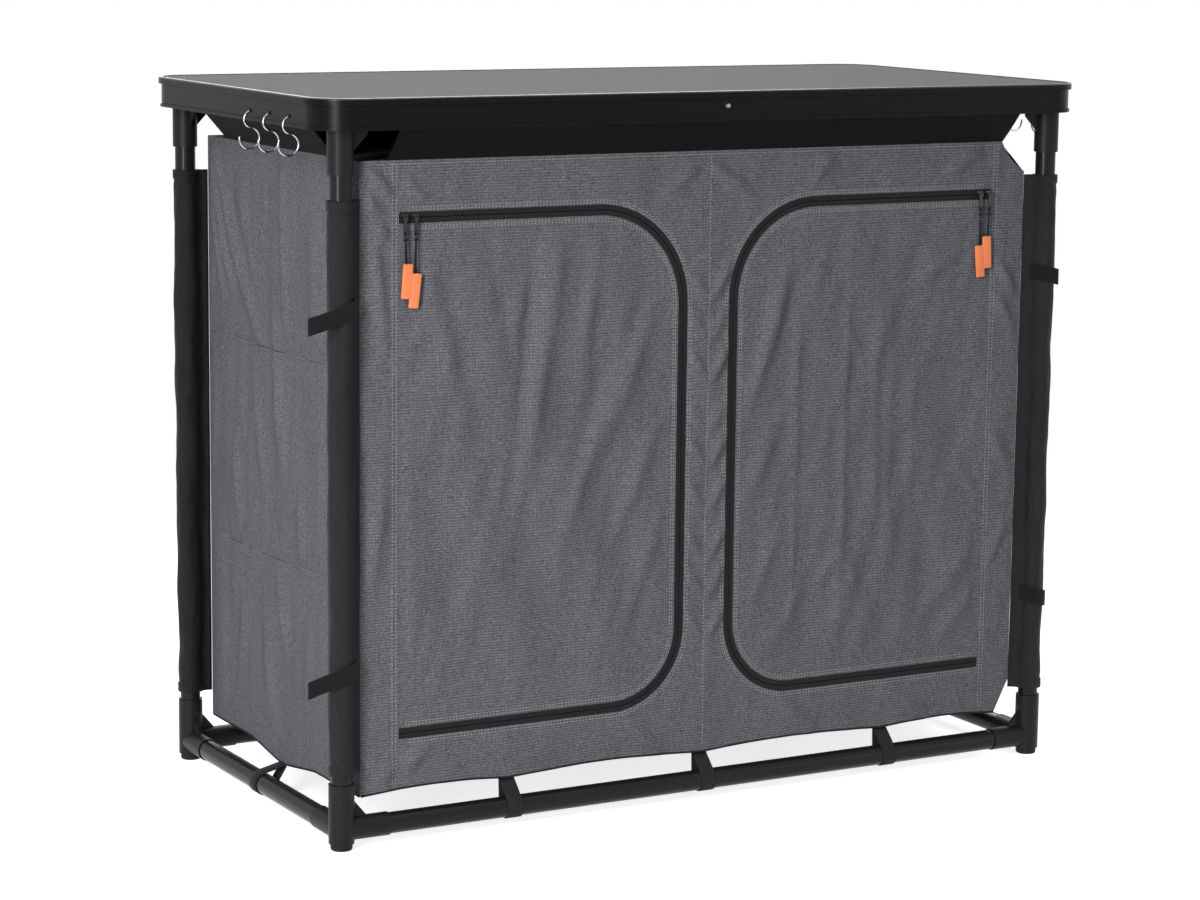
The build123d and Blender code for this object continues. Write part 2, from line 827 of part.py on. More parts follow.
def rail_loops():
    band = running_gap + webbing_thickness
    front_hem = (front_y - front_loop_setback - leg_y, cabinet_bottom_z - band - rail_axis_z)
    side_hem = (side_x - cloth / 2 - leg_x, cabinet_bottom_z - side_droop - band - rail_axis_z)
    with BuildPart() as loops:
        for sy in (-1, 1):
            for i in (-1, 0, 1):
                origin = (i * front_loop_spacing, sy * leg_y, rail_axis_z)
                add(webbing_loop(Plane(origin=origin, x_dir=(0, sy, 0), z_dir=(sy, 0, 0)), front_hem))
        for sx in (-1, 1):
            origin = (sx * leg_x, 0, rail_axis_z)
            add(webbing_loop(Plane(origin=origin, x_dir=(sx, 0, 0), z_dir=(0, -sx, 0)), side_hem))
    return loops.part


# Tie strap: from the sleeve's web round the front of the leg, sloping down to a free end
def tie_strap(side, height_z, wrap_end, free_length):
    x = side * leg_x
    inner = sleeve_radius + tie_gap
    outer = inner + tie_thickness
    web_angle = degrees(atan2(cabinet_setback, leg_x - side_x))
    web_clearance = degrees(asin((sleeve_web / 2 + running_gap) / inner))
    wrap_start = 180 - web_angle + web_clearance
    reach = outer + free_length
    drop = reach * tan(radians(tie_slope))
    half_width = tie_width / 2 / cos(radians(tie_slope))
    with BuildPart() as strap:
        with BuildSketch(Plane(origin=(x, -leg_y, height_z), x_dir=(side, 0, 0), z_dir=(0, 0, side))):
            with BuildLine():
                wrap = CenterArc((0, 0), inner, wrap_start, wrap_end - wrap_start)
                back = CenterArc((0, 0), outer, wrap_start, wrap_end - wrap_start)
                tail = (wrap % 1) * free_length
                Polyline(wrap @ 1, wrap @ 1 + tail, back @ 1 + tail, back @ 1)
                Line(back @ 0, wrap @ 0)
            make_face()
        extrude(amount=drop + half_width, both=True)
        with BuildSketch(Plane(origin=(x, 0, height_z), x_dir=(side, 0, 0), z_dir=(0, -side, 0))):
            with BuildLine():
                Polyline(
                    (-reach, drop + half_width),
                    (reach, half_width - drop),
                    (reach, -half_width - drop),
                    (-reach, drop - half_width),
                    close=True,
                )
            make_face()
        extrude(amount=top_width, both=True, mode=Mode.INTERSECT)
    return strap.part


def tie_straps():
    with BuildPart() as straps:
        for rise in (tie_lower_rise, tie_upper_rise):
            height_z = cabinet_bottom_z + rise
            add(tie_strap(-1, height_z, tie_wrap_left, tie_free_left))
            add(tie_strap(1, height_z, tie_wrap_right, tie_free_right))
    return straps.part


# Zip slider: a plate over the coil, a post through the zip, a lip behind the door's tape, ears and a pin
def zip_slider(x):
    lip_bottom_z = zip_top_z - slider_height / 2
    lip_top_z = zip_top_z + slider_post / 2
    rear_y = -front_y + cloth + running_gap
    plate_plane = Plane(origin=(x, -slider_back, zip_top_z), x_dir=(1, 0, 0), z_dir=(0, -1, 0))
    ear_middle = (puller_width + ear_thickness) / 2 + running_gap
    with BuildPart() as slider:
        with BuildSketch(plate_plane):
            RectangleRounded(slider_length, slider_height, slider_corner)
        extrude(amount=slider_plate)
        with BuildSketch(plate_plane.offset(slider_plate)):
            with Locations((-ear_middle, 0), (ear_middle, 0)):
                Rectangle(ear_thickness, 2 * pin_rise)
        extrude(amount=ear_rise)
        with BuildSketch(Plane.YZ.offset(x)):
            with Locations((-pin_y, pin_z)):
                Circle(pin_radius)
        extrude(amount=ear_middle, both=True)
        with BuildSketch(plate_plane):
            Rectangle(slider_post_length, slider_post)
        extrude(amount=-(slider_back - front_y + cloth + running_gap))
        with BuildSketch(Plane(origin=(x, rear_y, 0), x_dir=(1, 0, 0), z_dir=(0, -1, 0))):
            with Locations((0, (lip_bottom_z + lip_top_z) / 2)):
                Rectangle(slider_length, lip_top_z - lip_bottom_z)
        extrude(amount=-slider_rear_plate)
    return slider.part


# Puller: a flat strip with a hinge barrel at the top and an eye for the cord at the bottom
def zip_puller(x):
    head_radius = pin_radius + puller_hole_fit + puller_head_wall
    eye_z = pin_z - puller_length + puller_eye_length / 2 + puller_eye_edge
    with BuildPart() as puller:
        with BuildSketch(Plane.YZ.offset(x)):
            with Locations((-pin_y, pin_z)):
                Circle(head_radius)
            with Locations((-pin_y, pin_z - puller_length / 2)):
                Rectangle(puller_thickness, puller_length)
        extrude(amount=puller_width / 2, both=True)
        with BuildSketch(Plane.YZ.offset(x)):
            with Locations((-pin_y, pin_z)):
                Circle(pin_radius + puller_hole_fit)
        extrude(amount=puller_width / 2, both=True, mode=Mode.SUBTRACT)
        with BuildSketch(Plane(origin=(x, 0, eye_z), x_dir=(1, 0, 0), z_dir=(0, -1, 0))):
            SlotOverall(puller_eye_length, puller_eye_width, rotation=90)
        extrude(amount=top_width, both=True, mode=Mode.SUBTRACT)
    return puller.part


# Tag: a cord loop through the puller's eye, both ends in an orange tag
def zip_tag(x, cord_length):
    loop_top_z = pin_z - puller_length + puller_eye_edge + pull_cord_radius + running_gap
    tag_top_z = loop_top_z - cord_length
    half_gap = puller_thickness / 2 + pull_cord_radius + running_gap
    with BuildPart() as tag:
        with BuildLine(Plane(origin=(x, -pin_y, 0), x_dir=(0, 1, 0), z_dir=(1, 0, 0))) as route:
            Line((-half_gap, tag_top_z), (-half_gap, loop_top_z))
            CenterArc((0, loop_top_z), half_gap, 180, -180)
            Line((half_gap, loop_top_z), (half_gap, tag_top_z))
        with BuildSketch(Plane(origin=route.line @ 0, z_dir=(0, 0, 1))):
            Circle(pull_cord_radius)
        sweep(path=route.line)
        with BuildSketch(Plane(origin=(x, -pin_y, tag_top_z - tag_length))):
            RectangleRounded(tag_width, tag_thickness, tag_corner)
        extrude(amount=tag_length)
    return tag.part


for name, (sx, sy) in corners.items():
    save(leg_tube(sx * leg_x, sy * leg_y), f"leg_{name}")
    save(corner_connector(sx, sy), f"connector_{name}")
    save(leg_socket(sx, sy), f"socket_{name}")

rail_x = leg_x - rail_seat
rail_y = leg_y - rail_seat
save(rail_tube((-rail_x, -leg_y, rail_axis_z), (1, 0, 0), 2 * rail_x), "rail_front")
save(rail_tube((-rail_x, leg_y, rail_axis_z), (1, 0, 0), 2 * rail_x), "rail_rear")
save(rail_tube((-leg_x, -rail_y, rail_axis_z), (0, 1, 0), 2 * rail_y), "rail_left")
save(rail_tube((leg_x, -rail_y, rail_axis_z), (0, 1, 0), 2 * rail_y), "rail_right")
save(foot_plugs(), "foot_plugs")

save(worktop_rim(), "worktop_rim")
save(worktop_board(), "worktop_board")
save(cross_brace(), "cross_brace")
save(brace_rivets(), "brace_rivets")
save(socket_screws(), "socket_screws")

for side_name, side in sides.items():
    for i, place in enumerate(hook_places):
        save(s_hook(side, hook_first_y + i * hook_spacing), f"s_hook_{side_name}_{place}")

save(front_panel(), "front_panel")
save(back_panel(), "back_panel")
save(level_sheet(cabinet_top_z - cloth, slack_top_x, slack_top_y), "top_panel")
save(level_sheet(cabinet_bottom_z, slack_bottom_x, slack_bottom_y), "bottom_panel")
save(centre_divider(), "centre_divider")
save(shelf_pair(lower_shelf_z), "lower_shelves")
save(shelf_pair(upper_shelf_z), "upper_shelves")
save(top_flaps(), "top_flaps")
save(leg_sleeves(), "leg_sleeves")
save(rail_loops(), "rail_loops")
save(tie_straps(), "tie_straps")

for side_name, side in sides.items():
    save(side_panel(side), f"side_panel_{side_name}")
    save(door_panel(side), f"door_{side_name}")
    save(zip_half(side, 1), f"zip_frame_{side_name}")
    save(zip_half(side, -1), f"zip_door_{side_name}")
    for i, place in enumerate(pull_places):
        x = side * (hinge_x - slider_first - i * slider_pitch)
        save(zip_slider(x), f"slider_{side_name}_{place}")
        save(zip_puller(x), f"puller_{side_name}_{place}")
        save(zip_tag(x, pull_cord_length + i * pull_cord_step), f"tag_{side_name}_{place}")
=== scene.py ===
import json
from math import acos, atan2, cos, degrees, exp, hypot, pi, radians, sin, tan

import bpy
import numpy as np
from mathutils import Matrix, Vector, noise
from mathutils.geometry import delaunay_2d_cdt


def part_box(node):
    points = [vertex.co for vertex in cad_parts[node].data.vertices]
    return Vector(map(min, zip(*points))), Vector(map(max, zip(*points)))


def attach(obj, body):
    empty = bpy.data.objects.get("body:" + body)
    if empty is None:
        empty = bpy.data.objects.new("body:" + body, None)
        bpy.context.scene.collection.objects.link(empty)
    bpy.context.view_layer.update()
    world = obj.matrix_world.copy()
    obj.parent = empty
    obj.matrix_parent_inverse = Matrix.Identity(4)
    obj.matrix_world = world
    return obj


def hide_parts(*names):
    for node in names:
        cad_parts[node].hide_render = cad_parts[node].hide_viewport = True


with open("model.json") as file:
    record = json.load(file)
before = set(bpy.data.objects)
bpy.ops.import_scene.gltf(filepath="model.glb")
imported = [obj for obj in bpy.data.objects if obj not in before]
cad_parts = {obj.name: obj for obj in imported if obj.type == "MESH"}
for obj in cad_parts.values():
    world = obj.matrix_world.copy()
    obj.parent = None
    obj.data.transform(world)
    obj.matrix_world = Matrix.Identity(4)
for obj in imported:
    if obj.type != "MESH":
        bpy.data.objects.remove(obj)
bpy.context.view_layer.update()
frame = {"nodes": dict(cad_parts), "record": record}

# Camping cupboard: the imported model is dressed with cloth, zips, stitching and finishes.
# Metres, +Z up, front towards -Y. Lengths below are written in millimetres and scaled by mm.

mm = 0.001

# Cloth, seams and stitches
cloth = 1.2 * mm
mesh_pitch = 5.0 * mm
level_pitch = 2 * mesh_pitch
stitch_length = 2.2 * mm
stitch_pitch = 4.4 * mm
stitch_width = 0.8 * mm
stitch_rise = 0.5 * mm
stitch_taper = 0.3
stitch_sink = 0.1
stitch_section = ((-1, 0.0), (-0.6, 0.8), (0.6, 0.8), (1, 0.0))
seam_pull = 2.2 * mm
seam_radius = 0.6 * mm
seam_reach = 7.0 * mm
seam_step = 4.0 * mm
seam_side_half = 214.0 * mm
seam_rear_half = 454.0 * mm
piping_radius = 1.5 * mm
tube_sides = 8

# Zips
tape_width = 6.5 * mm
bend_step = 5
zip_top_radius = 115.0 * mm
zip_bottom_radius = 90.0 * mm
tooth_pitch = 0.8 * mm

# Camera fitted to the photograph
camera_place = (-2.00067, -3.53183, 1.07689)
camera_yaw = 0.51051
camera_pitch = 0.1662
camera_roll = 0.01134
focal_length = 97.9
sensor_width = 36.0


def node_box(node):
    low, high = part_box(node)
    return Vector(low), Vector(high)


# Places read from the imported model
front_low, front_high = node_box("front_panel")
side_x = front_high.x
front_y = -front_low.y
top_z = front_high.z
hem_z = node_box("bottom_panel")[0].z
side_low_z = node_box("side_panel_left")[0].z
level_rear_y = node_box("bottom_panel")[1].y
level_x = node_box("bottom_panel")[1].x
lower_shelf_low, lower_shelf_high = node_box("lower_shelves")
upper_shelf_low, upper_shelf_high = node_box("upper_shelves")
lower_seam_z = (lower_shelf_low.z + lower_shelf_high.z) / 2
upper_seam_z = (upper_shelf_low.z + upper_shelf_high.z) / 2

zip_low, zip_high = node_box("zip_frame_right")
zip_outer = zip_high.x
zip_inner = zip_low.x + tape_width
zip_top = zip_high.z - tape_width
zip_bottom = zip_low.z + tape_width

leg_low, leg_high = node_box("leg_front_right")
leg_x = (leg_low.x + leg_high.x) / 2
leg_y = -(leg_low.y + leg_high.y) / 2
tube_radius = (leg_high.x - leg_low.x) / 2
rail_low, rail_high = node_box("rail_front")
rail_z = (rail_low.z + rail_high.z) / 2

# Front panel: scalloped hem, slack right corner and doorways
loop_spacing = 265 * mm
scallop = 5 * mm
scallop_steps = 30
corner_trim = 1.5 * mm
slack_top = (35 * mm, 38 * mm)
slack_top_depth = 60 * mm
slack_bottom = (21 * mm, 41 * mm)
slack_bottom_depth = 35 * mm
slack_hollow = 4 * mm
hollow_steps = 6
hinge_edge = zip_outer + 0.25 * mm

# Rows of stitches: from the middle of a zip, from a hinge line and from the cloth's edges
frame_rows = (8.4 * mm, 11.6 * mm)
door_rows = (9.6 * mm, 12.6 * mm)
hinge_rows = (3.6 * mm, 8.6 * mm)
top_margin = 4 * mm
hem_margin = 8 * mm
corner_margin = 12 * mm
centre_row_x = 0.6 * mm
row_step = 6 * mm

# Side walls: the hem dips between two straight runs
droop_half = 10 * mm
droop_reach = 95 * mm

# Sleeves round the legs
sleeve_low, sleeve_high = node_box("leg_sleeves")
sleeve_inner = tube_radius + 0.5 * mm
sleeve_outer = tube_radius + 2.2 * mm
sleeve_web = 2.4 * mm
sleeve_hem = 12.0 * mm
sleeve_pitch = 9 * mm
sleeve_web_gap = 0.5 * mm
sleeve_leg_share = 0.8
sleeve_first_turn = 32
sleeve_turn_step = 12
sleeve_edge_step = 1.2 * mm
sleeve_stitch_step = 1.6 * mm
sleeve_crease, sleeve_crease_rate = 2.0 * mm, 1.6
sleeve_wrinkle, sleeve_wrinkle_rate = 1.0 * mm, 4.8
sleeve_sway, sleeve_sway_rate = 1.1 * mm, 14
sleeve_sway_reach = 8 * mm
sleeve_rate_across, sleeve_rate_along = 30, 9

# Half section of a sleeve's web: place along its reach and half thickness, as shares
sleeve_web_section = ((1.0, 0.5), (0.86, 0.5), (0.72, 0.6), (0.6, 1.3))

# Swell of a sleeve up to each distance from its end, and beyond the last
sleeve_swells = (
    (0.5 * mm, 0.6 * mm),
    (sleeve_hem - 1.0 * mm, 1.1 * mm),
    (sleeve_hem + 1.0 * mm, -0.4 * mm),
)
sleeve_middle_swell = 0.3 * mm

# Webbing loops round the rails
webbing_width = 20 * mm
webbing_thickness = 1.2 * mm
loop_radius_gap = 0.3 * mm
loop_hem_gap = 1.5 * mm
loop_inset = 6 * mm
loop_steps = 26
loop_leg_shares = (0.02, 0.35, 0.7)

# Straps that tie back an open door
tie_width = 20.4 * mm
tie_thickness = 1.5 * mm
tie_inner = tube_radius + 3.7 * mm
tie_slope = 15.0
tie_clear = 6.0
tie_heights = (hem_z + 151 * mm, hem_z + 565 * mm)
tie_turns = {"left": (270.0, 48 * mm), "right": (315.0, 12 * mm)}
tie_short = 45.0
tie_bow = 3.0 * mm
tie_steps = 18
tail_steps = 8

# Flaps up to the worktop: a slope out to a knee, then straight up behind the rim
flap_swell_front = 2.6 * mm
flap_swell_side = 2.2 * mm
flap_streak_pitch = 60 * mm
flap_streak_lean = 0.4
flap_even_share = 0.35
flap_swell_share = 0.7
front_knee_y = 255.4 * mm
front_knee_rise = 37 * mm
front_flap_tuck = 9 * mm
front_flap_end = 34.3 * mm
side_knee_reach = 37.7 * mm
side_knee_rise = 43 * mm
side_flap_end = 59.9 * mm
flap_board_gap = 0.3 * mm

# Tags on cord loops: each leans by its cord and by its tab, in degrees
tag_width = 12.0 * mm
tag_thickness = 3.0 * mm
tag_length = 40.0 * mm
tag_corner = 0.8 * mm
cord_radius = 0.8 * mm
knot_radius = 0.85 * mm
knot_size = (1.9 * mm, 1.4 * mm, 0.8 * mm)
knot_drop = 8.5 * mm
knot_steps = 24
tag_leans = {
    "left_outer": (2.4, -4.5),
    "left_inner": (-1.0, -6.5),
    "right_outer": (-2.0, 3.0),
    "right_inner": (1.0, 5.0),
}

# Light and floor
sky_light = 0.26
floor_reach = 3.0
floor_fade = (0.9, 2.4)
floor_glow = 0.78
floor_sides = 96

# Sag of the level cloths, dents of the shelves and swell of the divider, and how far in each grows
level_sag = 1.5 * mm
level_reach = 60 * mm
hem_lift_reach = 50 * mm
shelf_dent = 1.2 * mm
shelf_dent_play = 0.8 * mm
shelf_reach = 70 * mm
shelf_front_spare = 20 * mm
shelf_edge_radius = 1.2 * mm
divider_swell = 4 * mm
divider_reach = 25 * mm

sides = {"left": -1, "right": 1}
corners = {
    "front_left": (-1, -1),
    "front_right": (1, -1),
    "rear_left": (-1, 1),
    "rear_right": (1, 1),
}


# Short calls for building a node material
class Surface:
    """One material: its shader, and calls that add nodes to its tree."""

    def __init__(self, name, colour, roughness, metallic=0.0):
        self.material = bpy.data.materials.new(name)
        self.material.use_nodes = True
        self.tree = self.material.node_tree
        self.shader = self.tree.nodes["Principled BSDF"]
        self.shader.inputs["Metallic"].default_value = metallic
        self.shader.inputs["Roughness"].default_value = roughness
        self.colour = colour
        self.place = self.add("ShaderNodeTexCoord").outputs["Object"]

    def add(self, kind, **settings):
        node = self.tree.nodes.new(kind)
        for key, value in settings.items():
            setattr(node, key, value)
        return node

    def feed(self, socket, value):
        """Link an output to a socket, or set the socket's own value."""
        if isinstance(value, bpy.types.NodeSocket):
            self.tree.links.new(value, socket)
        else:
            socket.default_value = value

    def math(self, operation, result, *values):
        """One operation, carried on over every further value."""
        for value in values or (0.0,):
            node = self.add("ShaderNodeMath", operation=operation)
            self.feed(node.inputs[0], result)
            self.feed(node.inputs[1], value)
            result = node.outputs[0]
        return result

    def noise(self, scale, detail=3.0, stretch=(1.0, 1.0, 1.0)):
        mapping = self.add("ShaderNodeMapping")
        mapping.inputs["Scale"].default_value = stretch
        self.feed(mapping.inputs["Vector"], self.place)
        node = self.add("ShaderNodeTexNoise")
        node.inputs["Scale"].default_value = scale
        node.inputs["Detail"].default_value = detail
        self.feed(node.inputs["Vector"], mapping.outputs["Vector"])
        return node.outputs["Fac"]

    def span(self, value, low, high):
        """Spread a value from 0..1 over low..high."""
        node = self.add("ShaderNodeMapRange")
        node.inputs["To Min"].default_value = low
        node.inputs["To Max"].default_value = high
        self.feed(node.inputs["Value"], value)
        return node.outputs["Result"]

    def tone(self, factor):
        """Colour times a varying brightness."""
        node = self.add("ShaderNodeMix", data_type="RGBA", blend_type="MULTIPLY")
        node.inputs["Factor"].default_value = 1.0
        node.inputs["A"].default_value = (*self.colour, 1.0)
        self.feed(node.inputs["B"], factor)
        self.feed(self.shader.inputs["Base Color"], node.outputs["Result"])

    def relief(self, height, distance, strength=1.0, under=None):
        """A bumped normal, laid over another one where that is given."""
        node = self.add("ShaderNodeBump")
        node.inputs["Strength"].default_value = strength
        node.inputs["Distance"].default_value = distance
        self.feed(node.inputs["Height"], height)
        if under:
            self.feed(node.inputs["Normal"], under)
        return node.outputs["Normal"]

    def bump(self, height, distance, strength=1.0, under=None):
        self.feed(self.shader.inputs["Normal"], self.relief(height, distance, strength, under))

    def rumples(self):
        """Soft creases of hanging cloth, longer downwards than sideways."""
        broad = self.noise(scale=16.0, stretch=(1.0, 1.0, 0.35))
        ridge = self.math("ABSOLUTE", self.math("SUBTRACT", broad, 0.5))
        narrow = self.noise(scale=55.0, detail=2.0, stretch=(1.0, 1.0, 0.5))
        return self.math("SUBTRACT", self.math("MULTIPLY", narrow, 0.35), ridge)

    def rough(self, value):
        self.feed(self.shader.inputs["Roughness"], value)

    def waves(self, axes, pitch):
        """Two sets of threads, each swinging from 0 to 1 once a pitch."""
        split = self.add("ShaderNodeSeparateXYZ")
        self.feed(split.inputs[0], self.place)
        threads = []
        for axis in axes:
            turn = self.math("MULTIPLY", split.outputs[axis], 2 * pi / pitch)
            swing = self.math("SINE", turn)
            half = self.math("MULTIPLY", swing, 0.5)
            threads.append(self.math("ADD", half, 0.5))
        return threads


# Weave: the dots' mean brightness, and fine threads in one pitch of dots
mean_of_dots = 0.375
threads_in_pitch = 3

# Gloss of the painted rim: on its walls, and how much more on what faces up, which paints a highlight
# along the top lip
wall_shine = 0.085
top_painted_highlight = 0.9


def woven(name, colour, axes, pitch, contrast, roughness=0.86, gloss=0.02, clouds=0.08):
    """Two-tone cloth: rows of darker dashes on fine threads, with slubs, rumples and a cloudy tone that
    on the black cloths also paints a mottled sheen.
    """
    surface = Surface(name, colour, roughness)
    across, along = surface.waves(axes, pitch)
    dash = surface.math("ADD", surface.math("MULTIPLY", across, 0.5), 0.5)
    dots = surface.math("MULTIPLY", dash, along)
    slub = surface.noise(scale=900.0, detail=2.0)
    melange = surface.noise(scale=420.0)
    cloud = surface.noise(scale=9.0, detail=4.0)
    dark = surface.math("MULTIPLY", dots, contrast)
    light = surface.math("SUBTRACT", 1.0 + contrast * mean_of_dots, dark)
    slubs = surface.span(slub, low=0.1, high=1.9)
    speckles = surface.span(melange, low=0.25, high=1.75)
    # Cloudy tone: small and random on the grey cloth; on the black cloths it is strong enough to paint a
    # mottled sheen
    tone_and_painted_sheen = surface.span(cloud, low=1.0 - clouds, high=1.0 + clouds)
    surface.tone(surface.math("MULTIPLY", light, slubs, speckles, tone_and_painted_sheen))
    threads = surface.math("ADD", *surface.waves(axes, pitch / threads_in_pitch))
    height = surface.math("ADD", surface.math("SUBTRACT", threads, dots), slub)
    creases = surface.relief(surface.rumples(), distance=4.0 * mm)
    surface.bump(height, distance=0.25 * mm, strength=0.5, under=creases)
    surface.rough(surface.span(slub, low=roughness - 0.08, high=roughness + 0.08))
    surface.shader.inputs["Specular IOR Level"].default_value = gloss
    return surface.material


def coated(name, colour, roughness, grain, depth, specular=0.5):
    """Paint, moulding or rubber: fine grain, faint clouds in colour and gloss."""
    surface = Surface(name, colour, roughness)
    fine = surface.noise(scale=grain, detail=2.0)
    cloud = surface.noise(scale=14.0, detail=4.0)
    mark = surface.noise(scale=120.0, detail=5.0)
    clouds = surface.span(cloud, low=0.85, high=1.15)
    surface.tone(surface.math("MULTIPLY", clouds, surface.span(mark, low=0.9, high=1.1)))
    surface.bump(fine, distance=depth, strength=0.6)
    dull = surface.span(cloud, low=-0.05, high=0.05)
    worn = surface.span(mark, low=-0.05, high=0.05)
    surface.rough(surface.math("ADD", dull, worn, roughness))
    surface.shader.inputs["Specular IOR Level"].default_value = specular
    return surface.material


def drawn_metal(name, colour, roughness):
    """Bright metal with faint draw marks."""
    surface = Surface(name, colour, roughness, metallic=1.0)
    lines = surface.noise(scale=700.0, stretch=(1.0, 1.0, 0.15))
    surface.tone(surface.span(lines, low=0.85, high=1.1))
    surface.rough(surface.span(lines, low=roughness * 0.6, high=roughness * 1.4))
    surface.bump(lines, distance=0.02 * mm, strength=0.4)
    return surface.material


def extruded(name, colour, roughness):
    """Painted extrusion: long faint draw lines under a fine satin grain, and a painted highlight on top
    from extra gloss on up-facing faces.
    """
    surface = Surface(name, colour, roughness)
    lines = surface.noise(scale=160.0, stretch=(0.02, 0.02, 4.0))
    grain = surface.noise(scale=1800.0, detail=2.0)
    cloud = surface.noise(scale=6.0)
    streaky = surface.span(lines, low=0.88, high=1.12)
    surface.tone(surface.math("MULTIPLY", streaky, surface.span(cloud, low=0.9, high=1.1)))
    surface.rough(surface.math("ADD", surface.span(lines, low=-0.05, high=0.05), roughness))
    surface.bump(surface.math("ADD", grain, lines), distance=0.03 * mm, strength=0.4)
    facing = surface.add("ShaderNodeSeparateXYZ")
    surface.feed(facing.inputs[0], surface.add("ShaderNodeNewGeometry").outputs["Normal"])
    # Painted highlight: faces turned up get more gloss than the walls, so the top lip shows a bright
    # line
    painted_highlight_mask = surface.math("MAXIMUM", facing.outputs["Z"], 0.0)
    gloss_and_painted_highlight = surface.math("ADD", surface.math("MULTIPLY", painted_highlight_mask, top_painted_highlight), wall_shine)
    surface.feed(surface.shader.inputs["Specular IOR Level"], gloss_and_painted_highlight)
    return surface.material


def ribbed(name, colour, axes, pitch, roughness=0.8):
    """Webbing, tape or hook-and-loop: close ribs broken up by fuzz."""
    surface = Surface(name, colour, roughness)
    across, along = surface.waves(axes, pitch)
    fuzz = surface.noise(scale=1500.0)
    ribs = surface.math("ADD", across, surface.math("MULTIPLY", along, 0.5))
    stripes = surface.span(ribs, low=0.75, high=1.15)
    surface.tone(surface.math("MULTIPLY", stripes, surface.span(fuzz, low=0.7, high=1.3)))
    surface.bump(surface.math("ADD", ribs, fuzz), distance=0.3 * mm, strength=0.6)
    surface.rough(surface.span(fuzz, low=roughness - 0.1, high=roughness + 0.1))
    surface.shader.inputs["Sheen Weight"].default_value = 0.05
    surface.shader.inputs["Specular IOR Level"].default_value = 0.15
    return surface.material


grey = (0.128, 0.131, 0.144)
black = (0.012, 0.012, 0.0134)
# Painted shade: the black cloth darkened for the flaps, which sit in shade under the worktop
painted_shade_black = (0.006, 0.006, 0.0067)
webbing_black = (0.016, 0.016, 0.0175)
front_axes = ("X", "Z")
side_axes = ("Y", "Z")
level_axes = ("X", "Y")


def grey_weave(name, axes, pitch=3.4 * mm, contrast=0.6):
    return woven(name, grey, axes, pitch, contrast)


# Black cloth: its strong clouds paint a mottled sheen into the colour
def black_weave(name, axes, gloss, colour=black, roughness=0.5, clouds=0.4):
    return woven(name, colour, axes, 1.4 * mm, 0.3, roughness, gloss, clouds)


finishes = {
    "black_tube": coated("tube_coat", (0.009, 0.0095, 0.011), 0.26, 1600.0, 0.02 * mm, specular=0.16),
    "black_moulding": coated("moulding", (0.010, 0.0105, 0.012), 0.42, 1100.0, 0.06 * mm, specular=0.14),
    "black_foot": coated("foot_rubber", (0.013, 0.013, 0.014), 0.62, 700.0, 0.1 * mm, specular=0.14),
    "black_rim": extruded("rim_paint", (0.0045, 0.0046, 0.005), 0.3),
    "grey_board": coated("board_laminate", (0.2, 0.198, 0.2), 0.75, 900.0, 0.04 * mm, specular=0.01),
    "brace_metal": coated("brace_coat", (0.03, 0.031, 0.034), 0.45, 1600.0, 0.04 * mm),
    "rivet_metal": drawn_metal("rivet_satin", (0.3, 0.3, 0.31), 0.35),
    "screw_metal": drawn_metal("screw_zinc", (0.55, 0.55, 0.54), 0.3),
    "chrome_wire": drawn_metal("hook_chrome", (0.46, 0.46, 0.475), 0.1),
    "grey_cloth": grey_weave("front_weave", front_axes),
    "black_cloth": black_weave("black_cloth_front", front_axes, gloss=0.15),
    "black_webbing": ribbed("webbing_front", webbing_black, front_axes, 1.6 * mm),
    "zip_tape": ribbed("zip_tape_weave", (0.007, 0.007, 0.0078), front_axes, 0.9 * mm, 0.5),
    "zip_metal": coated("zip_lacquer", (0.008, 0.008, 0.009), 0.25, 800.0, 0.03 * mm),
    "orange_tag": coated("tag_rubber", (0.9, 0.24, 0.09), 0.55, 900.0, 0.08 * mm),
}
side_weave = grey_weave("side_weave", side_axes, 2.6 * mm, 0.5)
level_weave = grey_weave("level_weave", level_axes)
side_black = black_weave("black_cloth_side", side_axes, gloss=0.1)
level_black = black_weave("black_cloth_level", level_axes, gloss=0.22)
# Painted shade: the flaps use the darkened black, standing in for the shade under the worktop
flap_front = black_weave("flap_cloth_front", front_axes, 0.06, painted_shade_black, 0.6, 0.3)
flap_side = black_weave("flap_cloth_side", side_axes, 0.06, painted_shade_black, 0.6, 0.3)
thread = ribbed("stitch_thread", (0.42, 0.42, 0.44), front_axes, 0.5 * mm)
# Seam thread: dark thread, and dark enough to paint the shade of the crease at each shelf seam
seam_thread_and_painted_shade = ribbed("seam_thread_and_painted_shade", (0.02, 0.02, 0.023), side_axes, 0.5 * mm)
side_webbing = ribbed("webbing_side", webbing_black, side_axes, 1.6 * mm)
hook_tape = ribbed("hook_tape", (0.008, 0.008, 0.009), front_axes, 1.1 * mm, 0.9)
cord_finish = ribbed("pull_cord", (0.009, 0.009, 0.010), front_axes, 0.7 * mm, 0.7)

for row in frame["record"]["subparts"]:
    carried = frame["nodes"][row["node"]]
    if not carried.data.materials:
        carried.data.materials.append(None)
    carried.material_slots[0].material = finishes[row["material_slot"]]


# Mesh calls
def piece(name, points, faces, material, body, nodes=(), slot=None):
    """A smooth-shaded piece that rides on a body and stands for its nodes."""
    mesh = bpy.data.meshes.new(name)
    mesh.from_pydata([tuple(p) for p in points], [], faces)
    mesh.materials.append(material)
    mesh.shade_smooth()
    made = bpy.data.objects.new(name, mesh)
    bpy.context.scene.collection.objects.link(made)
    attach(made, body)
    if nodes:
        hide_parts(*nodes)
    return made


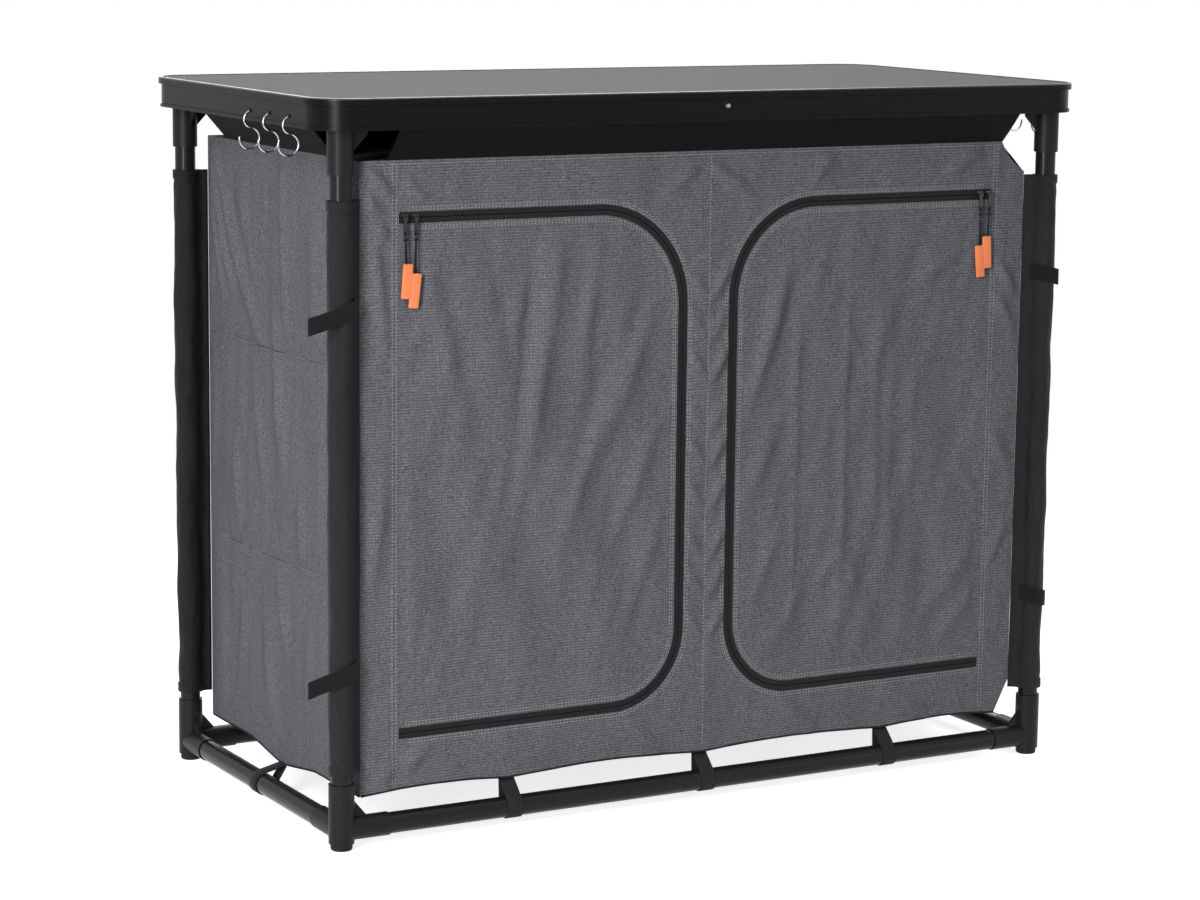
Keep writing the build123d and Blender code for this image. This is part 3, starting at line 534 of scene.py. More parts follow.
def spaced(points, step):
    """Points at equal steps along a run of straight lines."""
    runs = [(Vector(b) - Vector(a)).length for a, b in zip(points, points[1:])]
    count = max(1, round(sum(runs) / step))
    gap = sum(runs) / count
    out, i, gone = [], 0, 0.0
    for k in range(count + 1):
        want = min(k * gap, sum(runs))
        while i < len(runs) - 1 and want > gone + runs[i]:
            gone += runs[i]
            i += 1
        share = (want - gone) / runs[i] if runs[i] else 0.0
        out.append(Vector(points[i]).lerp(Vector(points[i + 1]), min(share, 1.0)))
    return out


def closed_loop(points, step=mesh_pitch):
    """The points of a closed outline, each side cut into equal steps."""
    out = []
    for a, b in zip(points, [*points[1:], points[0]]):
        out.extend(spaced([a, b], step)[:-1])
    return [tuple(p) for p in out]


def inside(points, loop):
    x, z = points[:, :1], points[:, 1:]
    ax, az = loop[:, 0], loop[:, 1]
    bx, bz = np.roll(ax, -1), np.roll(az, -1)
    rise = np.where(bz == az, 1.0, bz - az)
    crosses = ((az > z) != (bz > z)) & (x < ax + (z - az) * (bx - ax) / rise)
    return crosses.sum(axis=1) % 2 == 1


def clear_of(points, loop, gap):
    near = np.ones(len(points), bool)
    for corner in loop:
        near &= np.hypot(points[:, 0] - corner[0], points[:, 1] - corner[1]) > gap
    return near


# Lattice of a cut: the rise from row to row and the least gap to an outline, as shares of its pitch
row_share = 0.87
clear_share = 0.55


def cut_sheet(outline, holes=(), pitch=mesh_pitch):
    """Triangles of a flat cut with holes: an even lattice joined to the outlines."""
    loops = [np.array(loop) for loop in (outline, *holes)]
    low, high = loops[0].min(axis=0), loops[0].max(axis=0)
    rows = []
    for j, v in enumerate(np.arange(low[1], high[1], pitch * row_share)):
        us = np.arange(low[0] + (j % 2) * pitch / 2, high[0], pitch)
        rows.append(np.column_stack((us, np.full(len(us), v))))
    lattice = np.concatenate(rows)
    lattice = lattice[inside(lattice, loops[0])]
    for hole in loops[1:]:
        lattice = lattice[~inside(lattice, hole)]
    for loop in loops:
        lattice = lattice[clear_of(lattice, loop, pitch * clear_share)]
    points, edges = [], []
    for loop in loops:
        start = len(points)
        points.extend(Vector(p) for p in loop)
        edges.extend((start + i, start + (i + 1) % len(loop)) for i in range(len(loop)))
    points.extend(Vector(p) for p in lattice)
    flat, _, faces, *_ = delaunay_2d_cdt(points, edges, [], 0, 1e-7)
    flat = np.array([tuple(p) for p in flat])
    centres = np.array([flat[list(face)].mean(axis=0) for face in faces])
    keep = inside(centres, loops[0])
    for hole in loops[1:]:
        keep &= ~inside(centres, hole)
    return flat, [tuple(face) for face, kept in zip(faces, keep) if kept]


def flat_area(points, faces):
    total = 0.0
    for a, b, c in faces:
        total += abs(np.cross(points[b] - points[a], points[c] - points[a])) / 2
    return total


def sharpen_rim(mesh):
    """Mark the free edges sharp, so that the cloth is shaded flat right up to them."""
    used = np.empty(len(mesh.loops), int)
    mesh.loops.foreach_get("edge_index", used)
    free = np.bincount(used, minlength=len(mesh.edges)) == 1
    mesh.edges.foreach_set("use_edge_sharp", free)


def cloth_sheet(
    name,
    cut,
    place,
    material,
    node,
    rests_on,
    body="frame",
    slot="grey_cloth",
    thickness=cloth,
    offset=-1.0,
):
    """A cut of cloth placed point by point and given its thickness; its flat area is worked out but not
    kept.
    """
    points, faces = cut
    made = piece(name, [place(u, v) for u, v in points], faces, material, body, [node], slot)
    sharpen_rim(made.data)
    skin = made.modifiers.new("thickness", "SOLIDIFY")
    skin.thickness = thickness
    skin.offset = offset
    flat_area(*cut)
    return made


def skin_of(rings, looped=False, start=0):
    """The points and faces of a skin over rings of equally many points, capped where it ends."""
    size = len(rings[0])
    count = len(rings)
    points = [p for ring in rings for p in ring]
    faces = []
    for i in range(count if looped else count - 1):
        a, b = start + i * size, start + (i + 1) % count * size
        for k in range(size):
            n = (k + 1) % size
            faces.append((a + k, a + n, b + n, b + k))
    if not looped:
        faces.append(tuple(start + k for k in reversed(range(size))))
        faces.append(tuple(start + (count - 1) * size + k for k in range(size)))
    return points, faces


def loft(name, rings, material, body, nodes=(), slot=None, looped=False):
    return piece(name, *skin_of(rings, looped), material, body, nodes, slot)


def tube(name, spots, radius, material, body, looped=True, slot=None):
    """A round tube through the points."""
    rings = []
    count = len(spots)
    for i, spot in enumerate(spots):
        before = spots[i - 1] if looped or i else spot
        after = spots[(i + 1) % count] if looped or i < count - 1 else spot
        heading = (after - before).normalized()
        aside = heading.cross(Vector((0.3, 0.5, 0.8))).normalized()
        up = heading.cross(aside)
        ring = []
        for k in range(tube_sides):
            angle = 2 * pi * k / tube_sides
            ring.append(spot + (aside * cos(angle) + up * sin(angle)) * radius)
        rings.append(ring)
    return loft(name, rings, material, body, slot=slot, looped=looped)


def stitches(name, rows, place, material, body, slot="grey_cloth"):
    """Raised stitches along each row of points in the plane of a cloth."""
    points, faces = [], []
    for row in rows:
        for a, b in zip(*stitch_ends(row)):
            along = (b - a).normalized()
            aside = Vector((-along.y, along.x)) * stitch_width / 2
            middle = (a + b) / 2
            rings = []
            for spot, swell in ((a, stitch_taper), (middle, 1.0), (b, stitch_taper)):
                ring = []
                for side, rise in stitch_section:
                    flat = spot + aside * side
                    ring.append(place(flat.x, flat.y, stitch_rise * (rise * swell - stitch_sink)))
                rings.append(ring)
            more, skin = skin_of(rings, start=len(points))
            points.extend(more)
            faces.extend(skin)
    return piece(name, points, faces, material, body, slot=slot)


def stitch_ends(row):
    starts = spaced(row, stitch_pitch)
    ends = []
    for a, b in zip(starts, starts[1:]):
        ends.append(a + (b - a) * (stitch_length / stitch_pitch))
    return starts[:-1], ends


# Reliefs of the cloth: how far each point stands out from its flat place
def ease(value):
    value = min(max(value, 0.0), 1.0)
    return value * value * (3 - 2 * value)


def streaks(u, v, pitch, lean, seed):
    """Soft folds that run along v and lean sideways."""
    return noise.noise(Vector(((u + lean * v) / pitch, v / (5 * pitch), seed)))


def fold(u, v, start, end, height, width):
    """One soft ridge from start to end, gone at both ends. Millimetres."""
    du, dv = end[0] - start[0], end[1] - start[1]
    length = hypot(du, dv)
    pu, pv = u / mm - start[0], v / mm - start[1]
    along = (pu * du + pv * dv) / length**2
    if not 0 < along < 1:
        return 0.0
    across = (pu * dv - pv * du) / length / width
    return height * mm * sin(pi * along) * exp(-across * across)


# Folds seen on the front: from, to, height and width in millimetres, x and z on the front plane
front_folds = (
    # Left door
    ((-385, 712), (-318, 450), 4.3, 14),
    ((-292, 716), (-262, 540), -3.0, 12),
    ((-228, 716), (-264, 390), -4.6, 10),
    ((-196, 712), (-252, 400), 5.7, 12),
    ((-150, 708), (-176, 500), 3.5, 10),
    ((-104, 580), (-218, 290), 5.9, 12),
    ((-70, 630), (-156, 400), 4.9, 11),
    ((-56, 500), (-142, 290), 4.1, 11),
    ((-52, 390), (-116, 210), 3.2, 10),
    ((-300, 380), (-334, 170), 2.7, 14),
    # Right door
    ((118, 660), (58, 470), 6.5, 11),
    ((116, 490), (54, 350), 4.9, 11),
    ((120, 360), (58, 220), 4.3, 11),
    ((146, 270), (92, 160), 3.8, 10),
    ((130, 700), (124, 160), 2.7, 6),
    ((203, 705), (191, 136), 3.0, 6),
    ((150, 232), (194, 292), 2.2, 6),
    ((192, 292), (226, 240), 2.2, 6),
    ((197, 575), (232, 510), 2.2, 6),
    ((246, 640), (240, 280), 2.4, 8),
    ((268, 590), (262, 230), 1.9, 7),
    ((300, 560), (298, 280), 1.6, 7),
    ((264, 596), (372, 660), 2.7, 7),
    ((272, 622), (352, 598), 2.2, 6),
    ((366, 390), (409, 334), 2.7, 7),
    ((296, 160), (400, 296), 4.1, 12),
    ((338, 150), (406, 236), 3.8, 11),
    # Strips round the doors
    ((-398, 732), (-458, 788), 6.6, 7),
    ((-372, 738), (-424, 786), 5.1, 7),
    ((-420, 690), (-454, 764), 6.2, 7),
    ((-440, 712), (-424, 560), 5.7, 8),
    ((-428, 440), (-444, 280), 4.6, 9),
    ((-8, 776), (62, 734), 5.7, 8),
    ((-66, 738), (-8, 778), 4.6, 8),
    ((136, 738), (178, 788), 5.1, 8),
    ((322, 738), (398, 786), 5.1, 8),
    ((398, 732), (424, 786), 5.1, 7),
    ((410, 650), (452, 594), 6.2, 7),
    ((410, 604), (452, 552), 5.1, 7),
    ((412, 430), (450, 372), 5.1, 8),
    ((412, 240), (448, 312), 4.6, 8),
    ((-310, 116), (-196, 62), 6.2, 12),
    ((-128, 118), (-52, 60), 5.7, 12),
    ((96, 118), (168, 60), 5.7, 12),
    ((250, 116), (336, 62), 5.7, 12),
    ((-440, 70), (-360, 112), 6.6, 10),
)

# Puckers between the two zips: short ridges that climb from the centre seam on both sides
pucker_first = 190.0
pucker_pitch = 52.0
pucker_count = 9
pucker_reach = 33.0
pucker_rise = 58.0
pucker_scatter = 14.0
pucker_gap = 4.0
pucker_height = 7.2
pucker_width = 6.5


def puckers():
    rows = []
    for k in range(pucker_count):
        z = pucker_first + pucker_pitch * k + pucker_scatter * noise.noise(Vector((k * 0.7, 2.0, 5.0)))
        strength = pucker_height * (0.75 + 0.5 * noise.noise(Vector((k * 0.9, 8.0, 1.0))))
        rows.append(((0.0, z), (pucker_reach, z + pucker_rise), strength, pucker_width))
        start = (pucker_gap - pucker_reach, z + 0.8 * pucker_rise)
        rows.append((start, (0.0, z + 6.0), 0.8 * strength, pucker_width))
    return rows


all_front_folds = (*front_folds, *puckers())

# Folds seen on the left side: y and z on the side plane
side_folds = (
    ((216, 776), (170, 580), 6.0, 8),
    ((210, 782), (142, 590), 6.8, 9),
    ((202, 784), (112, 620), 5.6, 9),
    ((172, 700), (34, 520), 6.4, 12),
    ((136, 760), (58, 590), 4.8, 12),
    ((-8, 787), (-12, 560), 6.4, 9),
    ((6, 560), (-10, 380), 6.0, 9),
    ((22, 640), (8, 430), 4.0, 10),
    ((80, 520), (42, 350), 5.2, 9),
    ((140, 440), (122, 310), 4.0, 10),
    ((-54, 390), (-60, 296), 4.8, 10),
    ((-96, 640), (-112, 556), 3.6, 10),
    ((44, 270), (0, 292), 4.0, 7),
    ((14, 288), (-26, 160), 5.6, 9),
    ((104, 230), (140, 90), 4.8, 10),
    ((52, 256), (28, 100), 4.0, 10),
    ((-90, 250), (-60, 110), 3.6, 13),
)


# The two bends of a zip: radius, height of the centre, and 1 where it bends upwards or -1
zip_bends = (
    (zip_top_radius, zip_top - zip_top_radius, 1),
    (zip_bottom_radius, zip_bottom + zip_bottom_radius, -1),
)


def zip_gap(x, z):
    """How far a point of the front lies from the nearer zip line."""
    u = abs(x)
    for radius, centre_z, beyond in zip_bends:
        centre_x = zip_inner + radius
        if u < centre_x and (z - centre_z) * beyond > 0:
            return abs(radius - hypot(u - centre_x, z - centre_z))
    if zip_bottom < z < zip_top:
        return min(abs(u - zip_inner), zip_top - z, z - zip_bottom)
    return min(abs(z - zip_top), abs(z - zip_bottom))


# Relief of the front: heights, and how far from a zip, hinge or edge each is at its full height
swell_height = 5.0 * mm
small_swell_height = 2.2 * mm
drift_height = 3.0 * mm
zip_hold = 0.05
strip_share = 0.45
door_reach = 72 * mm
strip_reach = 42 * mm
fold_reach = 16 * mm
hinge_calm = 1.5 * mm
hinge_reach = 18 * mm
rim_reach = 14 * mm
hem_spare = 6 * mm


def front_relief(x, z):
    """How far the front stands proud of its plane, towards -Y."""
    gap = zip_gap(x, z)
    if zip_inner < abs(x) < zip_outer and zip_bottom < z < zip_top:
        loose = zip_hold + (1 - zip_hold) * ease(gap / door_reach)
    else:
        loose = zip_hold + strip_share * ease(gap / strip_reach)
    taut = zip_hold + (1 - zip_hold) * ease(gap / fold_reach)
    hinge = ease((abs(abs(x) - zip_outer) - hinge_calm) / hinge_reach)
    edge = hinge * ease(min(side_x - abs(x), top_z - z, z - hem_z + hem_spare) / rim_reach)
    swell = swell_height * streaks(x, z, pitch=60 * mm, lean=0.25, seed=3.0)
    swell += small_swell_height * streaks(x, z, pitch=24 * mm, lean=-0.3, seed=7.0)
    drift = drift_height * noise.noise(Vector((x * 6, z * 5, 1.0)))
    ridges = sum(fold(x, z, *row) for row in all_front_folds)
    return edge * (loose * (swell + drift) + taut * ridges)


def on_front(x, z, out=0.0):
    return Vector((x, -(front_y + out + front_relief(x, z)), z))


def seam_dip(z):
    """The wall is drawn in where a shelf is sewn to it."""
    gap = min(abs(z - lower_seam_z), abs(z - upper_seam_z))
    return seam_pull * exp(-((gap / seam_reach) ** 2))


# Relief of the side and back walls, and how far from their edges it is at its full height
side_folds_depth = 4.2 * mm
back_folds_depth = 4.0 * mm
wall_reach = 18 * mm
wall_top_reach = 12 * mm


def bay_share(z, low=hem_z, high=top_z):
    """From 0 at a shelf seam, the hem or the top to 1 in the middle of a bay."""
    levels = (low, lower_seam_z, upper_seam_z, high)
    for below, above in zip(levels, levels[1:]):
        if below < z < above:
            return sin(pi * (z - below) / (above - below))
    return 0.0


def wall_relief(u, z, pitch, depth, seed):
    """Hanging folds between the seams of a side or back wall."""
    folds = streaks(u, z, pitch, 0.03, seed) + 0.45 * streaks(u, z, pitch / 2.3, -0.05, seed + 4)
    return depth * (0.2 + 0.8 * bay_share(z)) * folds - seam_dip(z)


def on_side(sx, y, z, out=0.0):
    edge = ease((front_y - abs(y)) / wall_reach) * ease((top_z - z) / wall_top_reach)
    relief = wall_relief(y * sx, z, 46 * mm, side_folds_depth, 11.0 + sx)
    relief += sum(fold(y, z, *row) for row in side_folds)
    return Vector((sx * (side_x + out + edge * relief), y, z))


def on_back(x, z, out=0.0):
    edge = ease((side_x - abs(x)) / wall_reach) * ease((top_z - z) / wall_top_reach)
    relief = edge * wall_relief(-x, z, 60 * mm, back_folds_depth, 21.0)
    return Vector((x, front_y + out + relief, z))


# Lines and outlines on the front
def zip_line(side, step):
    """Points and outward normals along a zip, from its top outer end to its bottom outer end."""
    line = [(zip_outer, zip_top, 90.0)]
    for radius, centre_z, beyond in zip_bends:
        centre = Vector((zip_inner + radius, centre_z))
        first = 90 if beyond > 0 else 180
        for angle in range(first, first + 91, bend_step):
            turn = Vector((cos(radians(angle)), sin(radians(angle))))
            line.append((*(centre + turn * radius), float(angle)))
    line.append((zip_outer, zip_bottom, 270.0))
    line = [Vector(row) for row in line]
    lengths = [0.0]
    for a, b in zip(line, line[1:]):
        lengths.append(lengths[-1] + (b.xy - a.xy).length)
    count = round(lengths[-1] / step)
    out = []
    for k in range(count + 1):
        want = lengths[-1] * k / count
        i = max(j for j in range(len(lengths) - 1) if lengths[j] <= want + 1e-12)
        gap = lengths[i + 1] - lengths[i]
        spot = line[i].lerp(line[i + 1], (want - lengths[i]) / gap if gap else 0.0)
        angle = radians(spot.z)
        out.append((Vector((side * spot.x, spot.y)), Vector((side * cos(angle), sin(angle)))))
    return out


def zip_offset(side, grow, step):
    return [p + n * grow for p, n in zip_line(side, step)]


def doorway(side, grow, outer_end, step=5 * mm):
    """Closed outline of a doorway or door, from its zip line grown by a distance."""
    line = [tuple(p) for p in zip_offset(side, grow, step)]
    line[0] = (side * outer_end, line[0][1])
    line[-1] = (side * outer_end, line[-1][1])
    edge = spaced([Vector(line[-1]), Vector(line[0])], step)[1:-1]
    return [*line, *(tuple(p) for p in edge)]


def hem_lift(x):
    """How far the front and back hems are lifted between the webbing loops."""
    knots = (-side_x, -loop_spacing, 0.0, loop_spacing, side_x)
    for a, b in zip(knots, knots[1:]):
        if a < x < b:
            return scallop * sin(pi * (x - a) / (b - a))
    return 0.0


def hem_line(start, end):
    """The hem from start to end, lifted between the webbing loops."""
    knots = (start, -loop_spacing, 0.0, loop_spacing, end)
    line = []
    for a, b in zip(knots, knots[1:]):
        for k in range(scallop_steps):
            share = k / scallop_steps
            line.append((a + (b - a) * share, hem_z + scallop * sin(pi * share)))
    line.append((end, hem_z))
    return line


def slack_edge(low, high):
    """The hollow free edge of the slack corner, from its lower to its upper end."""
    a, b = Vector(low), Vector(high)
    inward = Vector((-(b - a).y, (b - a).x)).normalized()
    line = []
    for k in range(hollow_steps + 1):
        share = k / hollow_steps
        spot = a.lerp(b, share) + inward * slack_hollow * sin(pi * share)
        line.append(tuple(spot))
    return line


def front_outline():
    end = side_x - slack_bottom[0]
    walls = closed_loop(
        [
            (end, hem_z),
            (side_x, hem_z + slack_bottom[1]),
            *slack_edge((side_x, top_z - slack_top[1]), (side_x - slack_top[0], top_z)),
            (-side_x + corner_trim, top_z),
            (-side_x, top_z - corner_trim),
            (-side_x, hem_z),
        ]
    )
    return [*hem_line(-side_x, end)[:-1], *walls[: walls.index((-side_x, hem_z))]]


def make_front():
    holes = [doorway(side, tape_width, hinge_edge) for side in (-1, 1)]
    cut = cut_sheet(front_outline(), holes)
    weave = finishes["grey_cloth"]
    cloth_sheet("front_cloth", cut, on_front, weave, "front_panel", "rail_loops")
    for name, side in sides.items():
        door = f"door_{name}"
        cut = cut_sheet(doorway(side, -tape_width, zip_outer))
        leaf = f"door_cloth_{name}"
        cloth_sheet(leaf, cut, on_front, weave, door, "front_cloth", body=door)


# Section of a zip half: away from the middle of the zip and out of the cloth, in millimetres
zip_section = (
    (6.4, -0.5),
    (4.6, -0.25),
    (2.9, -0.2),
    (2.6, 0.5),
    (1.5, 0.9),
    (0.6, 0.5),
    (0.35, -0.5),
    (0.35, -1.2),
    (3.0, -1.2),
    (6.4, -1.2),
)
bead_points = (3, 4, 5)
tooth_notch = 0.3


def zip_half(name, side, outward, body, node):
    """A tape with a ribbed bead along the middle of the zip."""
    rings = []
    for i, (spot, normal) in enumerate(zip_line(side, tooth_pitch)):
        ring = []
        for k, (across, out) in enumerate(zip_section):
            notch = tooth_notch if i % 2 and k in bead_points else 0.0
            flat = spot + normal * outward * across * mm
            ring.append(on_front(flat.x, flat.y, (out - notch) * mm))
        rings.append(ring if outward * side > 0 else ring[::-1])
    made = loft(name, rings, finishes["zip_tape"], body, [node], "zip_tape")
    made.data.shade_flat()


def make_zips():
    for name, side in sides.items():
        zip_half(f"zip_outer_{name}", side, 1, "frame", f"zip_frame_{name}")
        zip_half(f"zip_inner_{name}", side, -1, f"door_{name}", f"zip_door_{name}")


def make_front_stitches():
    upper, lower = top_z - top_margin, hem_z + hem_margin
    uprights = [centre_row_x]
    fixed = []
    for name, side in sides.items():
        fixed.extend(zip_offset(side, grow, row_step)[2:-2] for grow in frame_rows)
        rows = [zip_offset(side, -grow, row_step)[1:-1] for grow in door_rows]
        stitches(f"door_stitches_{name}", rows, on_front, thread, f"door_{name}")
        uprights.extend(side * (zip_outer + gap) for gap in hinge_rows)
    fixed.extend([Vector((x, upper)), Vector((x, lower))] for x in uprights)
    ends = (-side_x + corner_margin, side_x - slack_top[0])
    fixed.append([Vector((x, upper)) for x in ends])
    stitches("front_stitches", fixed, on_front, thread, "frame")


# Side and back walls, drawn in at each shelf
def side_outline(sx):
    front = -front_y + cloth
    top_cut = low_cut = top_drop = low_rise = corner_trim
    if sx > 0:
        top_cut, top_drop = slack_top_depth, slack_top[1]
        low_cut, low_rise = slack_bottom_depth, slack_bottom[1]
    return closed_loop(
        [
            (droop_half, side_low_z),
            (droop_reach, hem_z),
            (level_rear_y - corner_trim, hem_z),
            (level_rear_y, hem_z + corner_trim),
            (level_rear_y, top_z - corner_trim),
            (level_rear_y - corner_trim, top_z),
            (front + top_cut, top_z),
            (front, top_z - top_drop),
            (front, hem_z + low_rise),
            (front + low_cut, hem_z),
            (-droop_reach, hem_z),
            (-droop_half, side_low_z),
        ]
    )


def make_sides():
    for name, sx in sides.items():
        cut = cut_sheet(side_outline(sx))
        wall, node = f"side_cloth_{name}", f"side_panel_{name}"

        def place(y, z, sx=sx):
            return on_side(sx, y, z)

        cloth_sheet(wall, cut, place, side_weave, node, "rail_loops", offset=-sx)


def make_back():
    walls = closed_loop([(side_x, hem_z), (side_x, top_z), (-side_x, top_z), (-side_x, hem_z)])
    outline = [*hem_line(-side_x, side_x)[:-1], *walls[: walls.index((-side_x, hem_z))]]
    weave = finishes["grey_cloth"]
    cut = cut_sheet(outline)
    cloth_sheet("back_cloth", cut, on_back, weave, "back_panel", "rail_loops", offset=1.0)


def make_wall_seams():
    """A dark seam where each shelf is sewn to the walls: its thread tube also paints the shade of the
    seam's crease.
    """
    side_steps = np.arange(-seam_side_half, seam_side_half + seam_step / 2, seam_step)
    rear_steps = np.arange(-seam_rear_half, seam_rear_half + seam_step / 2, seam_step)
    for level, z in (("lower", lower_seam_z), ("upper", upper_seam_z)):
        lines = {}
        for name, sx in sides.items():
            lines[name] = [on_side(sx, float(y), z) for y in side_steps]
        lines["rear"] = [on_back(float(x), z) for x in rear_steps]
        for name, line in lines.items():
            tube(f"seam_{level}_{name}", line, seam_radius, seam_thread_and_painted_shade, "frame", False, "grey_cloth")


# Sleeves round the legs, each with a flat web to its corner of the cabinet
def sleeve_profile(reach):
    """Half of the outline, from the web's end round to the far side of the leg."""
    half = [(along * reach, thick * sleeve_web) for along, thick in sleeve_web_section]
    for angle in range(sleeve_first_turn, 181, sleeve_turn_step):
        turn = radians(angle)
        half.append((sleeve_outer * cos(turn), sleeve_outer * sin(turn)))
    return half


def sleeve_levels():
    low, high = sleeve_low.z, sleeve_high.z
    ends = (Vector((low + sleeve_hem, 0)), Vector((high - sleeve_hem, 0)))
    middle = [spot.x for spot in spaced(ends, sleeve_pitch)]
    hems = []
    for end, inward in ((low, 1), (high, -1)):
        stitched = end + inward * (sleeve_hem - sleeve_stitch_step)
        hems.append([end, end + inward * sleeve_edge_step, stitched])
    return [*hems[0], *middle, *reversed(hems[1])]


def sleeve_swell(z):
    """A folded hem is thicker than the sleeve and nipped in at its stitch line."""
    gap = min(z - sleeve_low.z, sleeve_high.z - z)
    for reach, swell in sleeve_swells:
        if gap < reach:
            return swell
    return sleeve_middle_swell


def make_sleeves():
    for number, (name, (sx, sy)) in enumerate(corners.items()):
        axis = Vector((sx * leg_x, sy * leg_y))
        web = Vector((sx * side_x, sy * front_y)) - axis
        reach = web.length - sleeve_web_gap
        web = web.normalized()
        aside = Vector((-web.y, web.x))
        half = sleeve_profile(reach)
        profile = [*half, *((a, -b) for a, b in reversed(half[:-1]))]
        outer, inner = [], []
        for z in sleeve_levels():
            swell = sleeve_swell(z)
            skin, lining = [], []
            for a, b in profile:
                away = hypot(a, b)
                across = Vector((a, b)) * sleeve_rate_across
                spot = Vector((*across, z * sleeve_rate_along + 7 * number))
                crease = sleeve_crease * noise.noise(spot * sleeve_crease_rate)
                crease += sleeve_wrinkle * noise.noise(spot * sleeve_wrinkle_rate)
                on_leg = away < reach * sleeve_leg_share
                grow = 1 + (swell + crease) / max(away, sleeve_outer) if on_leg else 1.0
                sway = sleeve_sway * noise.noise(Vector((z * sleeve_sway_rate, number, 0.0)))
                sway *= ease((away - sleeve_outer) / sleeve_sway_reach)
                flat = axis + web * a * grow + aside * (b * grow + sway)
                skin.append(Vector((flat.x, flat.y, z)))
                turn = atan2(b, a)
                flat = axis + (web * cos(turn) + aside * sin(turn)) * sleeve_inner
                lining.append(Vector((flat.x, flat.y, z)))
            outer.append(skin)
            inner.append(lining)
        rings = [*outer, *reversed(inner)]
        finish = finishes["black_cloth"] if sy < 0 else side_black
        sleeve = f"sleeve_{name}"
        made = loft(sleeve, rings, finish, "frame", ["leg_sleeves"], "black_cloth", looped=True)


# Section of a band: across its width and through its thickness, as shares of their halves and whole
band_section = ((-1, 0.2), (-0.94, 1), (0, 1.04), (0.94, 1), (1, 0.2), (0.94, 0), (0, 0.0), (-0.94, 0))


def band(name, runs, width, thickness, material, node, looped):
    """Flat webbing along runs of points with outward directions, its width along one vector."""
    points, faces = [], []
    for run in runs:
        rings = []
        for spot, outward in run:
            ring = []
            for across, out in band_section:
                ring.append(spot + width * (across / 2) + outward * (out * thickness))
            rings.append(ring)
        more, skin = skin_of(rings, looped, len(points))
        points.extend(more)
        faces.extend(skin)
    piece(name, points, faces, material, "frame", [node], "black_webbing")


def loop_run(centre, outward_axis, hem, radius):
    """Round a rail at centre, drawn up to a hem point given as (outwards, up)."""
    lean = atan2(hem[1], hem[0])
    touch = acos(radius / hypot(*hem))
    first, last = lean + touch, lean + 2 * pi - touch
    turns = []
    for k in range(loop_steps + 1):
        angle = first + (last - first) * k / loop_steps
        turns.append(((radius * cos(angle), radius * sin(angle)), angle))

    tip = Vector(hem)
    rising = [(tip.lerp(Vector(turns[0][0]), share), first) for share in loop_leg_shares]
    falling = [(tip.lerp(Vector(turns[-1][0]), share), last) for share in reversed(loop_leg_shares)]
    up = Vector((0, 0, 1))
    placed = []
    for (a, b), angle in (*rising, *turns, *falling):
        placed.append((centre + outward_axis * a + up * b, outward_axis * cos(angle) + up * sin(angle)))
    return placed


def make_loops():
    radius = tube_radius + loop_radius_gap
    rise = hem_z - loop_hem_gap - rail_z
    long_hem = (front_y - loop_inset - leg_y, rise)
    short_hem = (side_x - cloth / 2 - leg_x, rise - (hem_z - side_low_z))
    long_runs, short_runs = [], []
    for sign in (-1, 1):
        for x in (-loop_spacing, 0.0, loop_spacing):
            centre = Vector((x, sign * leg_y, rail_z))
            long_runs.append(loop_run(centre, Vector((0, sign, 0)), long_hem, radius))
        centre = Vector((sign * leg_x, 0, rail_z))
        short_runs.append(loop_run(centre, Vector((sign, 0, 0)), short_hem, radius))
    for name, runs, width, material in (
        ("webbing_loops_long", long_runs, Vector((webbing_width, 0, 0)), finishes["black_webbing"]),
        ("webbing_loops_short", short_runs, Vector((0, webbing_width, 0)), side_webbing),
    ):
        band(name, runs, width, webbing_thickness, material, "rail_loops", True)


# Straps that tie back an open door: round the front of the leg, sloping down to a free end
def tie_plan(first, last, tail, bow):
    """Points and outward directions seen from above, the leg's axis at the origin."""
    plan = []
    for k in range(tie_steps + 1):
        angle = radians(first + (last - first) * k / tie_steps)
        out = Vector((cos(angle), sin(angle)))
        plan.append((out * tie_inner, out))
    spot, out = plan[-1]
    heading = Vector((-out.y, out.x))
    for k in range(1, tail_steps + 1):
        share = k / tail_steps
        plan.append((spot + heading * tail * share + out * bow * sin(pi * share * 0.8), out))
    return plan


def make_ties():
    first = 180 - degrees(atan2(leg_y - front_y, leg_x - side_x)) + tie_clear
    runs = []
    for name, side in sides.items():
        last, tail = tie_turns[name]
        lower, upper = tie_heights
        upper_last = last - tie_short if side > 0 else last
        for height, end, bow in ((lower, last, -0.6 * tie_bow), (upper, upper_last, tie_bow)):
            run = []
            for (u, v), out in tie_plan(first, end, tail, bow):
                place = Vector((side * (leg_x + u), -leg_y + v, height - u * tan(radians(tie_slope))))
                run.append((place, Vector((side * out.x, out.y, 0))))
            runs.append(run if side > 0 else run[::-1])
    band("door_ties", runs, Vector((0, 0, tie_width)), tie_thickness, hook_tape, "tie_straps", False)


# Flaps that close the gap up to the worktop
def flap(name, half, wall, knee, knee_rise, tuck, swell, seed, turn, material, rests_on):
    """Cloth from a wall out to a knee and then straight up, turned to its side of the cabinet."""
    slope = hypot(knee - wall, knee_rise)
    rise = slope + tuck
    cut = cut_sheet(closed_loop([(-half, 0.0), (half, 0.0), (half, rise), (-half, rise)]))

    def place(u, v):
        share = min(v / slope, 1.0)
        uneven = flap_even_share + streaks(u, v, flap_streak_pitch, flap_streak_lean, seed)
        bulge = swell * sin(pi * share) * uneven * flap_swell_share
        out = wall + (knee - wall) * share + bulge
        up = top_z + knee_rise * share + max(v - slope, 0.0) - bulge
        return turn(u, out, up)

    cloth_sheet(name, cut, place, material, "top_flaps", rests_on, slot="black_cloth")


